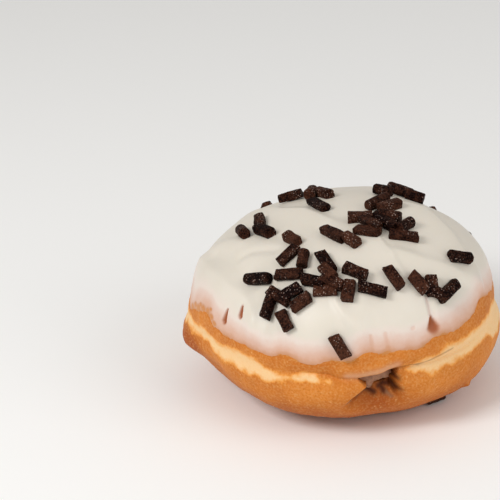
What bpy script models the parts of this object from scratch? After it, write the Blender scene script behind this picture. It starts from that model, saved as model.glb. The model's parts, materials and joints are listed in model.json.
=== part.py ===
"""A filled doughnut without a hole: a fried bun, chocolate cream inside it that shows at the
filling hole in its side, and white icing on top with chocolate sprinkles set in it.

Metres, +Z up. The bun stands on the flat spot under it, and its filling hole faces -Y.
A turn is an angle round the bun from the front (-Y) towards +X. A rise is an angle above the
level of the pale ring, seen from the middle of that ring. Both are radians inside functions.
"""

import math
import random

import bmesh
import bpy
import numpy as np
from mathutils import Matrix, Vector

MM = 0.001
TINY = 1e-9

# The bun's plain form: a flattened ball, fuller than an ellipse above and below its ring
RING_RADIUS = 41.5 * MM
RING_HEIGHT = 20.5 * MM
RING_OVAL = 0.034
RING_DRIFT = 0.014
CROWN = 29.0 * MM
CROWN_FULLNESS = 2.35
CROWN_LEAN = 0.075
BELLY = 22.3 * MM
BELLY_FULLNESS = 2.5
BELLY_LEAN = 0.075

# The seam in the pale ring, where the upper and lower crusts meet: turn and rise in degrees
SEAM_LINE = (
    (-180, 1.0), (-110, 0.0), (-60, 2.2), (-30, 0.0), (-7, 1.0), (-1, -0.5), (5, -0.1),
    (17, 1.7), (25, 0.6), (32, 0.3), (42, 0.4), (60, 1.4), (85, 2.0), (130, 0.5),
)
WAIST_DEPTH = 0.7 * MM
WAIST_SPREAD = math.radians(3.6)
CRUST_ROLL = 0.6 * MM
CRUST_ROLL_RISE = math.radians(3.2)
CRUST_ROLL_SPREAD = math.radians(2.4)
CRACK_DEPTH = 1.1 * MM
CRACK_SPREAD = math.radians(0.8)
CRACK_MIDDLE = math.radians(17)
CRACK_REACH = math.radians(34)

# The dent that the filling nozzle left under the hole
MOUTH_TURN = math.radians(11.8)
DENT_DEPTH = 4.8 * MM
DENT_DROP = math.radians(18)
DENT_TOP_HALF = math.radians(5.5)
DENT_FOOT_HALF = math.radians(10.0)
DENT_SIDE = math.radians(2.4)

# The lobe of lower crust that stands out on the left
LOBE_TURN = math.radians(-85)
LOBE_FRONT_REACH = math.radians(13)
LOBE_BACK_REACH = math.radians(30)
LOBE_OUT = 3.0 * MM
LOBE_RISE = math.radians(-6)
LOBE_ABOVE = math.radians(10)
LOBE_BELOW = math.radians(4)

# Hollows and swellings of the bun: turn and rise of the middle, reach in each, all in
# degrees, and height in mm
PATCHES = (
    (-65, -12, 11, 8, -1.7), (-28, -26, 20, 12, 0.7), (-48, -20, 12, 10, -0.5),
    (14, -30, 11, 14, -0.9), (36, -26, 18, 12, -0.6), (79, -7, 17, 11, 0.8),
    (56, -18, 10, 9, 0.6), (86, 8, 12, 7, -0.7), (-100, 8, 16, 12, -0.4),
    (-148, 40, 16, 12, -0.9), (152, 41, 14, 12, 0.7), (120, 38, 16, 12, -1.0),
    (-176, -20, 26, 12, -0.6), (-168, 18, 20, 14, 0.5), (-120, -24, 20, 12, 0.5),
    (-3, -8, 6, 6, 0.6), (28, -9, 6, 7, 0.7),
)

# Uneven swelling of the whole bun, which fades out towards the flat spot under it
BASE_BLEND = math.radians(10)
SWELL = 0.35 * MM
SWELL_WAVE = 26 * MM
SWELL_SEED = 5

# The icing: its lower edge, with runs and bays, as turn and rise in degrees
EDGE_LINE = (
    (-180, 10.0), (-155, 7.0), (-132, 11.5), (-108, 8.0), (-90, 8.5), (-82, 7.2), (-75, 9.8),
    (-64, 12.4), (-58, 9.0), (-50, 8.0), (-40, 7.4), (-34, 6.2), (-28, 5.8), (-23, 7.0),
    (-12, 4.8), (-4, 5.8), (1, 5.5), (9, 8.2), (14, 7.4), (27, 6.7), (35, 9.0), (40, 8.4),
    (49, 9.4), (60, 13.3), (66, 12.0), (74, 10.8), (88, 9.0), (102, 8.0), (122, 11.0), (150, 7.5),
)
ICING_THICKNESS = 1.2 * MM
ICING_EDGE = 0.45 * MM
ICING_BLEND = math.radians(6)
CLEARANCE = 0.3 * MM

# Folds that the icing set in. Each is a crest over the plan, with its points in mm, its
# height, and how far it reaches to its left and to its right as it runs.
FOLDS = (
    (((-38, 9), (-33, -9), (-28, -19), (-23, -27), (-20, -33)), 0.7, 2.2, 5.0),
    (((-36, 10), (-30, 1), (-24, -4)), 0.5, 6.0, 2.0),
    (((2, -4), (-9, 5), (-14, 12)), -0.5, 4.0, 4.0),
    (((10, -16), (12, -19), (14, -23), (15, -28)), 0.6, 5.0, 1.8),
    (((23, 5), (28, -4), (30, -12), (31, -15)), 0.8, 4.0, 7.0),
    (((21, -23), (27, -22), (32, -21), (36, -18)), 0.5, 3.0, 2.0),
    (((-1, -35), (3, -37), (5, -39)), 0.5, 4.0, 2.0),
    (((-20, 22), (-6, 29), (10, 27)), 0.6, 5.0, 3.0),
    (((22, 18), (30, 10), (36, 6)), 0.5, 3.0, 5.0),
)

# A sprinkle: a stick of chocolate, round or split along its length
STICK_RADIUS = 1.6 * MM
STICK_SINK = 0.5 * MM
STICK_SIDES = 8
ROUND = "round"
SPLIT = "split"
END_SLANT = 0.25
SLANT_SEED = 4
SPLIT_OUTER = 0.95
SPLIT_TOP = 0.35

# Each row: plan place in mm, heading in degrees from +X, length in mm, kind, lift in mm
# where it lies on others
LEFT_SPRINKLES = (
    (-25.6, -1.8, -78, 6.5, ROUND, 0), (-20.7, 0.9, -89, 5.5, ROUND, 0),
    (-19.5, -5.8, -56, 6.5, ROUND, 0), (-11.7, -14.9, -57, 5.5, ROUND, 0),
    (-21.0, -23.8, -40, 8.0, ROUND, 0), (-13.0, -27.0, -18, 7.0, SPLIT, 0),
    (-13.0, -20.9, 38, 6.5, SPLIT, 0), (-9.0, -24.0, -100, 5.0, ROUND, 0),
)
FRONT_SPRINKLES = (
    (-3.0, -26.5, -65, 7.0, SPLIT, 0), (-2.5, -30.0, -49, 4.5, ROUND, 0.6),
    (-6.5, -31.0, -24, 6.0, ROUND, 0), (-1.5, -32.5, -31, 6.5, ROUND, 0.5),
    (-3.6, -33.8, -11, 6.0, SPLIT, 0), (2.4, -34.9, -105, 5.5, ROUND, 0),
    (-12.4, -31.9, 4, 6.0, SPLIT, 0.8), (-18.4, -31.6, -123, 7.5, ROUND, 0),
    (-15.6, -31.2, -44, 6.5, ROUND, 0), (-10.0, -34.5, 10, 5.5, ROUND, 0),
    (-14.5, -35.8, -59, 5.5, SPLIT, 0), (-0.7, -42.2, -32, 6.5, SPLIT, 0),
    (4.5, -30.5, -26, 6.5, ROUND, 0), (8.5, -34.5, -8, 7.5, SPLIT, 0),
    (14.4, -31.4, -49, 6.5, SPLIT, 0),
)
RIGHT_SPRINKLES = (
    (20.5, -31.1, -34, 6.0, ROUND, 0), (23.9, -30.4, -86, 5.5, SPLIT, 0),
    (24.5, -31.2, 8, 5.0, ROUND, -0.3), (28.0, -29.5, 49, 7.0, ROUND, 0),
    (32.3, -18.8, 26, 6.2, ROUND, 0),
)
TOP_SPRINKLES = (
    (-0.5, -16.5, -49, 7.5, ROUND, 0), (4.0, -20.0, -50, 5.0, ROUND, 0),
    (-4.4, 2.9, -62, 8.0, SPLIT, 0), (12.1, 0.0, 47, 8.0, ROUND, 0),
    (15.0, -3.0, 30, 6.5, ROUND, 0), (14.8, -9.8, -15, 5.5, ROUND, 0.4),
    (7.0, -9.1, -2, 6.5, ROUND, 0), (9.5, -13.0, -49, 7.0, SPLIT, 0.5),
    (8.5, -16.5, -23, 6.5, SPLIT, 0), (13.5, -12.0, -53, 8.0, ROUND, 0),
    (18.4, -13.3, 50, 6.0, ROUND, 0), (18.0, -17.5, 0, 7.5, SPLIT, 0),
)
FAR_SPRINKLES = (
    (-2.7, 12.0, -60, 6.5, ROUND, 0), (-6.2, 14.0, 80, 5.5, ROUND, 0.2),
    (-11.8, 16.0, -15, 6.5, ROUND, 0.3), (13.8, 10.0, -35, 5.0, ROUND, 0.3),
    (18.6, 14.6, -35, 7.0, ROUND, 0.3), (20.9, 13.6, -20, 5.0, ROUND, 0.3),
    (22.4, 10.2, -10, 5.0, ROUND, 0.3),
)
# The side that the front view doesn't reach gets its sprinkles by a rule: how far the bun
# there leans away from AWAY, and how near each other they may lie
BACK_COUNT = 13
BACK_TRIES = 1500
BACK_SEED = 18
BACK_SPACING = 7.5 * MM
BACK_TURN_LIMIT = math.radians(80)
BACK_LOWEST = math.radians(15)
BACK_HIGHEST = math.radians(36)
BACK_SPLIT_SHARE = 0.35
BACK_LENGTHS = (5.5, 7.5)
AWAY = (0.0, math.cos(math.radians(25)), -math.sin(math.radians(25)))
AWAY_SHARE = 0.36
# How finely a place on the icing, and the slope there, are found
HALVINGS = 40
SLOPE_STEP = 0.03

# The cream: a flat core in the middle of the bun and a neck from it to the filling hole
CORE_HALF_WIDTH = 17 * MM
CORE_HALF_HEIGHT = 6.0 * MM
CORE_BACK = -16 * MM
CREAM_BACK = -15.5 * MM
NECK_HALF_WIDTH = 4.6 * MM
NECK_HALF_HEIGHT = 1.5 * MM
NECK_LIFT = -0.3 * MM
NECK_START = 29 * MM
NECK_END = 38.4 * MM
CREAM_SIDES = 14
CREAM_SECTIONS = 15
POCKET_END = 50 * MM
MOUTH_HALF_WIDTH = 5.7 * MM
MOUTH_HALF_HEIGHT = 2.4 * MM
MOUTH_LIFT = -0.9 * MM
MOUTH_TILT = math.radians(7.5)

# Mesh density
COLUMNS = 72
CROWDING = 1.3
CROWD_SPREAD = math.radians(34)
BELLY_ROWS = 6
DENT_ROWS = 5
CROWN_ROWS = 9
ICING_ROWS = 18
BASE_ROW_SHARE = 0.4
SEAM_ROWS = (-3, -1.1, 0, 1.1, 3)
LIP_SHARE = 0.4


def ease(value):
    """0 to 1 with a soft start and end"""
    value = np.clip(value, 0.0, 1.0)
    return value * value * (3 - 2 * value)


def hump(value):
    """1 at zero, fading smoothly on both sides"""
    return np.exp(-value * value)


def around(turn, line):
    """The rise, in radians, of a closed line given by a few places round the bun"""
    turns = np.array([place[0] for place in line] + [line[0][0] + 360.0])
    rises = np.array([place[1] for place in line] + [line[0][1]])
    at = (np.degrees(turn) - turns[0]) % 360 + turns[0]
    before = np.clip(np.searchsorted(turns, at, side="right") - 1, 0, len(turns) - 2)
    along = (at - turns[before]) / (turns[before + 1] - turns[before])
    return np.radians(rises[before] + (rises[before + 1] - rises[before]) * ease(along))


def turn_from(turn, middle):
    """How far a turn is from another one, from -pi to pi"""
    return (turn - middle + math.pi) % (2 * math.pi) - math.pi


def plain_radius(turn, rise):
    across = RING_RADIUS * (1 + RING_DRIFT * np.sin(turn) + RING_OVAL * np.sin(2 * turn))
    crown = CROWN * (1 + CROWN_LEAN * np.sin(turn) * np.cos(rise))
    belly = BELLY * (1 + BELLY_LEAN * np.sin(turn))
    tall = np.where(rise > 0, crown, belly)
    fullness = np.where(rise > 0, CROWN_FULLNESS, BELLY_FULLNESS)
    flat_part = (np.cos(rise) / across) ** fullness
    steep_part = (np.abs(np.sin(rise)) / tall) ** fullness
    return (flat_part + steep_part) ** (-1 / fullness)


def points_at(turn, rise, radius):
    """Places in space, with whatever would reach below the table pressed flat on it"""
    flat = radius * np.cos(rise)
    height = np.maximum(RING_HEIGHT + radius * np.sin(rise), 0.0)
    return np.stack([flat * np.sin(turn), -flat * np.cos(turn), height], axis=-1)


def swell(turn, rise):
    """Slow random swelling, the same on every run"""
    places = points_at(turn, rise, plain_radius(turn, rise))
    draw = random.Random(SWELL_SEED)
    total = 0.0
    waves = 5
    for _ in range(waves):
        heading = np.array([draw.gauss(0, 1) for _ in range(3)])
        heading /= np.linalg.norm(heading)
        length = SWELL_WAVE * draw.uniform(0.7, 1.5)
        phase = draw.uniform(0, 2 * math.pi)
        total = total + np.sin(places @ heading * (2 * math.pi / length) + phase)
    return SWELL * total / waves


def dent(turn, rise):
    below = around(turn, SEAM_LINE) - rise
    fade = ease(1 - below / DENT_DROP) * ease(below / math.radians(1.5))
    half = DENT_TOP_HALF + (DENT_FOOT_HALF - DENT_TOP_HALF) * ease(below / DENT_DROP * 1.6)
    inside = ease((half - np.abs(turn_from(turn, MOUTH_TURN))) / DENT_SIDE + 0.5)
    return DENT_DEPTH * fade * inside


def patches(turn, rise):
    total = 0.0
    for at_turn, at_rise, turn_reach, rise_reach, height in PATCHES:
        round_bun = turn_from(turn, math.radians(at_turn)) / math.radians(turn_reach)
        upward = (rise - math.radians(at_rise)) / math.radians(rise_reach)
        total = total + height * MM * hump(round_bun) * hump(upward)
    return total


def lobe(turn, rise):
    above = rise - LOBE_RISE
    forward = turn_from(turn, LOBE_TURN)
    rise_reach = np.where(above > 0, LOBE_ABOVE, LOBE_BELOW)
    turn_reach = np.where(forward > 0, LOBE_FRONT_REACH, LOBE_BACK_REACH)
    return LOBE_OUT * hump(forward / turn_reach) * hump(above / rise_reach)


def crust_radius(turn, rise):
    """The bun's own surface, set back under the icing by the icing's thickness"""
    from_seam = rise - around(turn, SEAM_LINE)
    from_edge = rise - around(turn, EDGE_LINE)
    near_crack = ease(1.5 - np.abs(turn_from(turn, CRACK_MIDDLE)) / CRACK_REACH)
    above_rim = ease((rise - base_rim_rise(turn)) / BASE_BLEND)
    radius = plain_radius(turn, rise) + above_rim * (swell(turn, rise) + patches(turn, rise))
    radius -= (ICING_THICKNESS + CLEARANCE) * ease(from_edge / ICING_BLEND)
    radius -= WAIST_DEPTH * hump(from_seam / WAIST_SPREAD)
    radius += CRUST_ROLL * near_crack * hump((from_seam - CRUST_ROLL_RISE) / CRUST_ROLL_SPREAD)
    radius -= CRACK_DEPTH * near_crack * hump(from_seam / CRACK_SPREAD)
    return radius - above_rim * dent(turn, rise) + lobe(turn, rise)


def distance_to_path(x, y, path):
    """Distance to a run of straight stretches, and how far to their left a place is, 0 to 1"""
    nearest = np.full(np.shape(x), np.inf)
    leftness = np.zeros(np.shape(x))
    for (ax, ay), (bx, by) in zip(path[:-1], path[1:]):
        run_x = bx - ax
        run_y = by - ay
        length = math.hypot(run_x, run_y)
        along = np.clip(((x - ax) * run_x + (y - ay) * run_y) / length**2, 0, 1)
        off_x = x - ax - along * run_x
        off_y = y - ay - along * run_y
        distance = np.hypot(off_x, off_y) + TINY
        sideways = (run_x * off_y - run_y * off_x) / (length * distance)
        closer = distance < nearest
        leftness = np.where(closer, 0.5 + 0.5 * sideways, leftness)
        nearest = np.where(closer, distance, nearest)
    return nearest, leftness


def fold_height(turn, rise):
    places = points_at(turn, rise, plain_radius(turn, rise)) / MM
    total = 0.0
    for path, height, left_reach, right_reach in FOLDS:
        distance, leftness = distance_to_path(places[..., 0], places[..., 1], path)
        reach = right_reach + (left_reach - right_reach) * leftness
        total = total + height * hump(distance / reach)
    return total * MM


def icing_radius(turn, rise):
    from_edge = rise - around(turn, EDGE_LINE)
    full = ease(from_edge / ICING_BLEND)
    thickness = ICING_EDGE + (ICING_THICKNESS - ICING_EDGE) * full
    return crust_radius(turn, rise) + CLEARANCE + thickness + full * fold_height(turn, rise)


def column_turns():
    """Turns of the mesh's columns, closer together near the filling hole"""
    fine = np.linspace(-math.pi, math.pi, 2001)
    crowd = 1 + CROWDING * hump(turn_from(fine, MOUTH_TURN) / CROWD_SPREAD)
    share = np.concatenate([[0.0], np.cumsum(crowd[1:] + crowd[:-1])])
    return np.interp(np.arange(COLUMNS) / COLUMNS, share / share[-1], fine)


def base_rim_rise(turn):
    """The rise at which the belly meets the table"""
    belly = BELLY * (1 + BELLY_LEAN * np.sin(turn))
    across = RING_RADIUS * (1 + RING_DRIFT * np.sin(turn) + RING_OVAL * np.sin(2 * turn))
    reach = across * (1 - (RING_HEIGHT / belly) ** BELLY_FULLNESS) ** (1 / BELLY_FULLNESS)
    return -np.arctan2(RING_HEIGHT, reach)


def spread_rows(first, last, count):
    """Rows from one line round the bun up to another, without the last"""
    return [first + (last - first) * step / count for step in range(count)]


def bun_rows(turns):
    """The lines round the bun that its mesh follows, from the table to near the top"""
    seam = around(turns, SEAM_LINE)
    rim = base_rim_rise(turns)
    dent_foot = seam - DENT_DROP
    inside_base = rim + (-math.pi / 2 - rim) * BASE_ROW_SHARE
    rows = [inside_base]
    rows += spread_rows(rim, dent_foot, BELLY_ROWS)
    rows += spread_rows(dent_foot, seam + math.radians(SEAM_ROWS[0]), DENT_ROWS)
    rows += [seam + math.radians(offset) for offset in SEAM_ROWS]
    return rows + crown_rows(turns, CROWN_ROWS)


def crown_rows(turns, count):
    """Lines from the icing's edge up to just short of the top"""
    edge = around(turns, EDGE_LINE)
    lip = edge + ICING_BLEND * LIP_SHARE
    return [edge] + spread_rows(lip, np.full_like(edge, math.pi / 2), count)


def ring_points(turns, rows, radius):
    return [points_at(turns, row, radius(turns, row)) for row in rows]


def material(name, colour, roughness):
    made = bpy.data.materials.new(name)
    made.use_nodes = True
    shader = made.node_tree.nodes["Principled BSDF"]
    shader.inputs["Base Color"].default_value = (*colour, 1.0)
    shader.inputs["Roughness"].default_value = roughness
    shader.inputs["Metallic"].default_value = 0.0
    return made


def object_from(name, mesh_maker, look):
    mesh = bpy.data.meshes.new(name)
    mesh_maker.to_mesh(mesh)
    mesh_maker.free()
    mesh.shade_smooth()
    mesh.materials.append(look)
    made = bpy.data.objects.new(name, mesh)
    bpy.context.scene.collection.objects.link(made)
    return made


def add_ring(maker, ring):
    return [maker.verts.new(place) for place in ring]


def bridge(maker, lower, upper):
    """Two triangles for each step between rings, wound so that they face out"""
    for here in range(len(lower)):
        after = (here + 1) % len(lower)
        maker.faces.new((lower[here], lower[after], upper[after]))
        maker.faces.new((lower[here], upper[after], upper[here]))


def cap(maker, ring, middle, upward):
    centre = maker.verts.new(middle)
    for here in range(len(ring)):
        after = (here + 1) % len(ring)
        first, second = (ring[here], ring[after]) if upward else (ring[after], ring[here])
        maker.faces.new((first, second, centre))


def stack(maker, rings):
    made = [add_ring(maker, ring) for ring in rings]
    for lower, upper in zip(made[:-1], made[1:]):
        bridge(maker, lower, upper)
    return made


def top_point(radius):
    return (0.0, 0.0, RING_HEIGHT + float(radius(np.array(0.0), np.array(math.pi / 2))))


def apply_boolean(target, operation, others=None, other=None, solver="EXACT"):
    """Runs one Boolean on the target and keeps its result as the target's mesh"""
    change = target.modifiers.new("join", "BOOLEAN")
    change.operation = operation
    change.solver = solver
    if others is not None:
        change.operand_type = "COLLECTION"
        change.collection = others
    else:
        change.object = other
    bpy.context.view_layer.update()
    graph = bpy.context.evaluated_depsgraph_get()
    result = bpy.data.meshes.new_from_object(target.evaluated_get(graph))
    target.modifiers.remove(change)
    target.data = result


def cream_ring(along, grow, opening):
    """One section of the cream, or of the pocket round it, across the way to the hole"""
    core = math.sqrt(max(0.0, 1 - (along / CORE_BACK) ** 2)) if along < 0 else 1.0
    narrowing = float(ease(along / NECK_START))
    neck_width = MOUTH_HALF_WIDTH - grow if opening else NECK_HALF_WIDTH
    neck_height = MOUTH_HALF_HEIGHT - grow if opening else NECK_HALF_HEIGHT
    half_width = core * (CORE_HALF_WIDTH + (neck_width - CORE_HALF_WIDTH) * narrowing) + grow
    half_height = core * (CORE_HALF_HEIGHT + (neck_height - CORE_HALF_HEIGHT) * narrowing) + grow
    lift = (MOUTH_LIFT if opening else NECK_LIFT) * narrowing
    tilt = MOUTH_TILT * narrowing
    forward = Vector((math.sin(MOUTH_TURN), -math.cos(MOUTH_TURN), 0.0))
    sideways = Vector((math.cos(MOUTH_TURN), math.sin(MOUTH_TURN), 0.0))
    side = sideways * math.cos(tilt) + Vector((0, 0, 1)) * math.sin(tilt)
    upward = Vector((0, 0, 1)) * math.cos(tilt) - sideways * math.sin(tilt)
    middle = forward * along + Vector((0, 0, RING_HEIGHT + lift))
    return [
        middle
        + side * (half_width * math.cos(2 * math.pi * step / CREAM_SIDES))
        + upward * (half_height * math.sin(2 * math.pi * step / CREAM_SIDES))
        for step in range(CREAM_SIDES)
    ]


def cream_body(name, grow, opening, look):
    """The cream's form from the back of its core to its end in the hole"""
    maker = bmesh.new()
    length = NECK_END - CREAM_BACK
    steps = [step / CREAM_SECTIONS for step in range(CREAM_SECTIONS + 1)]
    places = [CREAM_BACK + length * step for step in steps]
    rings = [cream_ring(along, grow, opening) for along in places]
    backwards = Vector((-math.sin(MOUTH_TURN), math.cos(MOUTH_TURN), 0.0))
    rings[0] = [place + backwards * grow for place in rings[0]]
    if opening:
        rings.append([place - backwards * (POCKET_END - NECK_END) for place in rings[-1]])
    made = stack(maker, rings)
    maker.faces.new(reversed(made[0]))
    maker.faces.new(made[-1])
    bmesh.ops.triangulate(maker, faces=maker.faces[:])
    bmesh.ops.recalc_face_normals(maker, faces=maker.faces[:])
    return object_from(name, maker, look)


def build_dough():
    look = material("fried_crust", (0.60, 0.26, 0.065), 0.6)
    turns = column_turns()
    maker = bmesh.new()
    made = stack(maker, ring_points(turns, bun_rows(turns), crust_radius))
    cap(maker, made[0], (0.0, 0.0, 0.0), upward=False)
    cap(maker, made[-1], top_point(crust_radius), upward=True)
    dough = object_from("dough", maker, look)
    pocket = cream_body("pocket", CLEARANCE, True, look)
    pocket.hide_render = True
    pocket.display_type = "WIRE"
    apply_boolean(dough, "DIFFERENCE", other=pocket)
    bpy.data.objects.remove(pocket)
    return dough


def build_filling():
    look = material("chocolate_cream", (0.23, 0.085, 0.035), 0.55)
    return cream_body("filling", 0.0, False, look)


def icing_shell(look):
    """The icing alone: its outer skin, its lip and the skin that lies on the crust"""
    turns = column_turns()

    def inner_radius(turn, rise):
        return crust_radius(turn, rise) + CLEARANCE

    maker = bmesh.new()
    outer = stack(maker, ring_points(turns, crown_rows(turns, ICING_ROWS), icing_radius))
    inner_rings = ring_points(turns, crown_rows(turns, CROWN_ROWS), inner_radius)
    inner = stack(maker, inner_rings)
    bridge(maker, inner[0], outer[0])
    cap(maker, outer[-1], top_point(icing_radius), upward=True)
    cap(maker, inner[-1], top_point(inner_radius), upward=True)
    bmesh.ops.recalc_face_normals(maker, faces=maker.faces[:])
    return object_from("icing", maker, look)


def surface_under(x, y):
    """The turn and rise at which the icing, raised by a stick's radius, is over a place"""
    turn = math.atan2(x, -y)
    reach = math.hypot(x, y)
    low = 0.0
    high = math.pi / 2
    for _ in range(HALVINGS):
        middle = (low + high) / 2
        radius = float(icing_radius(np.array(turn), np.array(middle))) + STICK_RADIUS
        if radius * math.cos(middle) > reach:
            low = middle
        else:
            high = middle
    return turn, (low + high) / 2


def slope_at(turn, rise, surface):
    """A point of a surface and the direction out of it there"""
    rises = np.array([rise, rise - SLOPE_STEP, rise])
    turns = np.array([turn, turn, turn + SLOPE_STEP])
    at, below, beside = points_at(turns, rises, surface(turns, rises))
    outward = Vector(np.cross(beside - at, at - below)).normalized()
    if outward.z < 0:
        outward.negate()
    return Vector(at), outward


def back_sprinkles():
    """Places on the side that faces away, spread evenly by a seeded rule"""
    draw = random.Random(BACK_SEED)
    found = []
    middles = []
    for _ in range(BACK_TRIES):
        turn = math.pi + draw.uniform(-BACK_TURN_LIMIT, BACK_TURN_LIMIT)
        rise = draw.uniform(BACK_LOWEST, BACK_HIGHEST)
        heading = draw.uniform(0, 180)
        length = draw.uniform(*BACK_LENGTHS)
        kind = SPLIT if draw.random() < BACK_SPLIT_SHARE else ROUND
        middle, outward = slope_at(turn, rise, plain_radius)
        spaced = all((middle - other).length > BACK_SPACING for other in middles)
        if spaced and outward.dot(Vector(AWAY)) > AWAY_SHARE and len(found) < BACK_COUNT:
            radius = float(plain_radius(turn, rise)) + STICK_RADIUS
            reach = radius * math.cos(rise) / MM
            middles.append(middle)
            found.append((reach * math.sin(turn), -reach * math.cos(turn), heading, length, kind, 0))
    return found


def stick_section(kind):
    """The outline across a stick: round, or a half round with its flat side up"""
    steps = [2 * math.pi * (step + 0.5) / STICK_SIDES for step in range(STICK_SIDES)]
    outline = [(math.cos(step), math.sin(step)) for step in steps]
    if kind == ROUND:
        return outline
    flat_top = [(SPLIT_OUTER, SPLIT_TOP), (-SPLIT_OUTER, SPLIT_TOP)]
    return [(side, up) for side, up in outline if up < 0] + flat_top


def add_stick(row, draw, holder, look, name):
    x, y, heading, length, kind, lift = row
    foot, outward = slope_at(*surface_under(x * MM, y * MM), icing_radius)
    plan = Vector((math.cos(math.radians(heading)), math.sin(math.radians(heading)), 0.0))
    plan.z = -(outward.x * plan.x + outward.y * plan.y) / outward.z
    along = plan.normalized()
    side = outward.cross(along)
    middle = foot + outward * (STICK_RADIUS - STICK_SINK + lift * MM)
    turned = Matrix((along, side, outward)).transposed().to_4x4()
    turned.translation = middle
    half = length * MM / 2
    maker = bmesh.new()
    rings = []
    for end in (-1, 1):
        slant = draw.uniform(-END_SLANT, END_SLANT)
        rings.append([
            turned @ Vector((end * half + slant * across * STICK_RADIUS,
                             across * STICK_RADIUS, up * STICK_RADIUS))
            for across, up in stick_section(kind)
        ])
    made = stack(maker, rings)
    maker.faces.new(made[0])
    maker.faces.new(made[-1])
    bmesh.ops.recalc_face_normals(maker, faces=maker.faces[:])
    stick = object_from(name, maker, look)
    bpy.context.scene.collection.objects.unlink(stick)
    holder.objects.link(stick)
    return stick


def keep_main_body(target):
    """Drops loose scraps and fills sealed hollows: only the largest shell stays"""
    maker = bmesh.new()
    maker.from_mesh(target.data)
    left = set(maker.verts)
    shells = []
    while left:
        shell = {left.pop()}
        edge_of_shell = list(shell)
        while edge_of_shell:
            vert = edge_of_shell.pop()
            for edge in vert.link_edges:
                other = edge.other_vert(vert)
                if other in left:
                    left.remove(other)
                    shell.add(other)
                    edge_of_shell.append(other)
        shells.append(shell)
    shells.sort(key=len, reverse=True)
    spare = [vert for shell in shells[1:] for vert in shell]
    bmesh.ops.delete(maker, geom=spare, context="VERTS")
    maker.to_mesh(target.data)
    maker.free()


def build_icing():
    icing_look = material("sugar_icing", (0.80, 0.74, 0.66), 0.35)
    chocolate_look = material("chocolate_sprinkle", (0.045, 0.014, 0.009), 0.4)
    icing = icing_shell(icing_look)
    holder = bpy.data.collections.new("sprinkles")
    bpy.context.scene.collection.children.link(holder)
    rows = (*LEFT_SPRINKLES, *FRONT_SPRINKLES, *RIGHT_SPRINKLES, *TOP_SPRINKLES, *FAR_SPRINKLES)
    draw = random.Random(SLANT_SEED)
    for number, row in enumerate((*rows, *back_sprinkles())):
        add_stick(row, draw, holder, chocolate_look, f"sprinkle_{number}")
    apply_boolean(icing, "UNION", others=holder)
    for stick in list(holder.objects):
        bpy.data.objects.remove(stick)
    bpy.data.collections.remove(holder)
    keep_main_body(icing)
    return icing


def clear_scene():
    for old in list(bpy.data.objects):
        bpy.data.objects.remove(old)


clear_scene()
build_dough()
build_filling()
build_icing()
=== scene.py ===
import json
import math
import random

import bpy
import numpy as np
from mathutils import Matrix, Vector, noise

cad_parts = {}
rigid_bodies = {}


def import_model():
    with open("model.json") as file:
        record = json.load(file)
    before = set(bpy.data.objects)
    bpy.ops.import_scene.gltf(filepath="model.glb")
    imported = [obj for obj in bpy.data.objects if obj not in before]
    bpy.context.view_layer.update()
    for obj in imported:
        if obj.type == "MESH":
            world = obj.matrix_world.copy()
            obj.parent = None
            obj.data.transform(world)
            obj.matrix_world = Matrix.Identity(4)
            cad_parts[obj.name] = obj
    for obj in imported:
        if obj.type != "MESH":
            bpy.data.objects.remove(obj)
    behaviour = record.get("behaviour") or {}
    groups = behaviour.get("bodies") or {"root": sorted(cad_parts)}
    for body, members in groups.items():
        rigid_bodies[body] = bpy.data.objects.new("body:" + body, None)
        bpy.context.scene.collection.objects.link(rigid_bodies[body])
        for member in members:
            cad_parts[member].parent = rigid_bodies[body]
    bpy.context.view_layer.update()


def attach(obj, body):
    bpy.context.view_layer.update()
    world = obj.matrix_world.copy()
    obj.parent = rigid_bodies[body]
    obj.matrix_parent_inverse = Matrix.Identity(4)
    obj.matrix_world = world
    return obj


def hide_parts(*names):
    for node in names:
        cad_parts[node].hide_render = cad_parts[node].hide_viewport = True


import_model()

# Metres, +Z up. The bun stands on the flat spot under it, and its filling hole faces -Y.
# A turn is an angle round the bun from the front (-Y) towards +X. A rise is an angle above
# the level of the pale ring, seen from the middle of that ring. Functions take radians.
MM = 0.001
TINY = 1e-9
BODY = "root"

# The camera: its height over the bun, its lean, its distance, how many pixels a metre takes
# there, and the pixel of the 500 pixel wide image in which the middle of the ring lies
CAMERA_ELEVATION = math.radians(25.0)
CAMERA_ROLL = math.radians(3.5)
CAMERA_DISTANCE = 0.52
PIXELS_PER_METRE = 3670.0
RING_MIDDLE_PIXEL = (340.5, 308.0)
IMAGE_SIZE = 500
SENSOR_WIDTH = 36.0

# The bun's plain form: a flattened ball, fuller than an ellipse above and below its ring
RING_RADIUS = 41.5 * MM
RING_HEIGHT = 20.5 * MM
RING_OVAL = 0.034
RING_DRIFT = 0.014
CROWN = 29.0 * MM
CROWN_FULLNESS = 2.35
CROWN_LEAN = 0.075
BELLY = 22.3 * MM
BELLY_FULLNESS = 2.5
BELLY_LEAN = 0.075

# The seam in the pale ring, where the upper and lower crusts meet: turn and rise in degrees
SEAM_LINE = (
    (-180, 1.0), (-110, 0.0), (-60, 2.2), (-30, 0.0), (-7, 1.0), (-1, -1.0), (5, -1.3),
    (11, -0.7), (18, 0.9), (25, 0.6), (32, 0.3), (42, 0.4), (60, 1.4), (85, 2.0), (130, 0.5),
)
WAIST_DEPTH = 0.7 * MM
WAIST_SPREAD = math.radians(3.6)
CRUST_ROLL = 0.6 * MM
CRUST_ROLL_RISE = math.radians(3.2)
CRUST_ROLL_SPREAD = math.radians(2.4)
CRACK_DEPTH = 0.6 * MM
CRACK_SPREAD = math.radians(0.6)
CRACK_MIDDLE = math.radians(17)
CRACK_REACH = math.radians(34)
CRACK_FADE = 1.5

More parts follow.
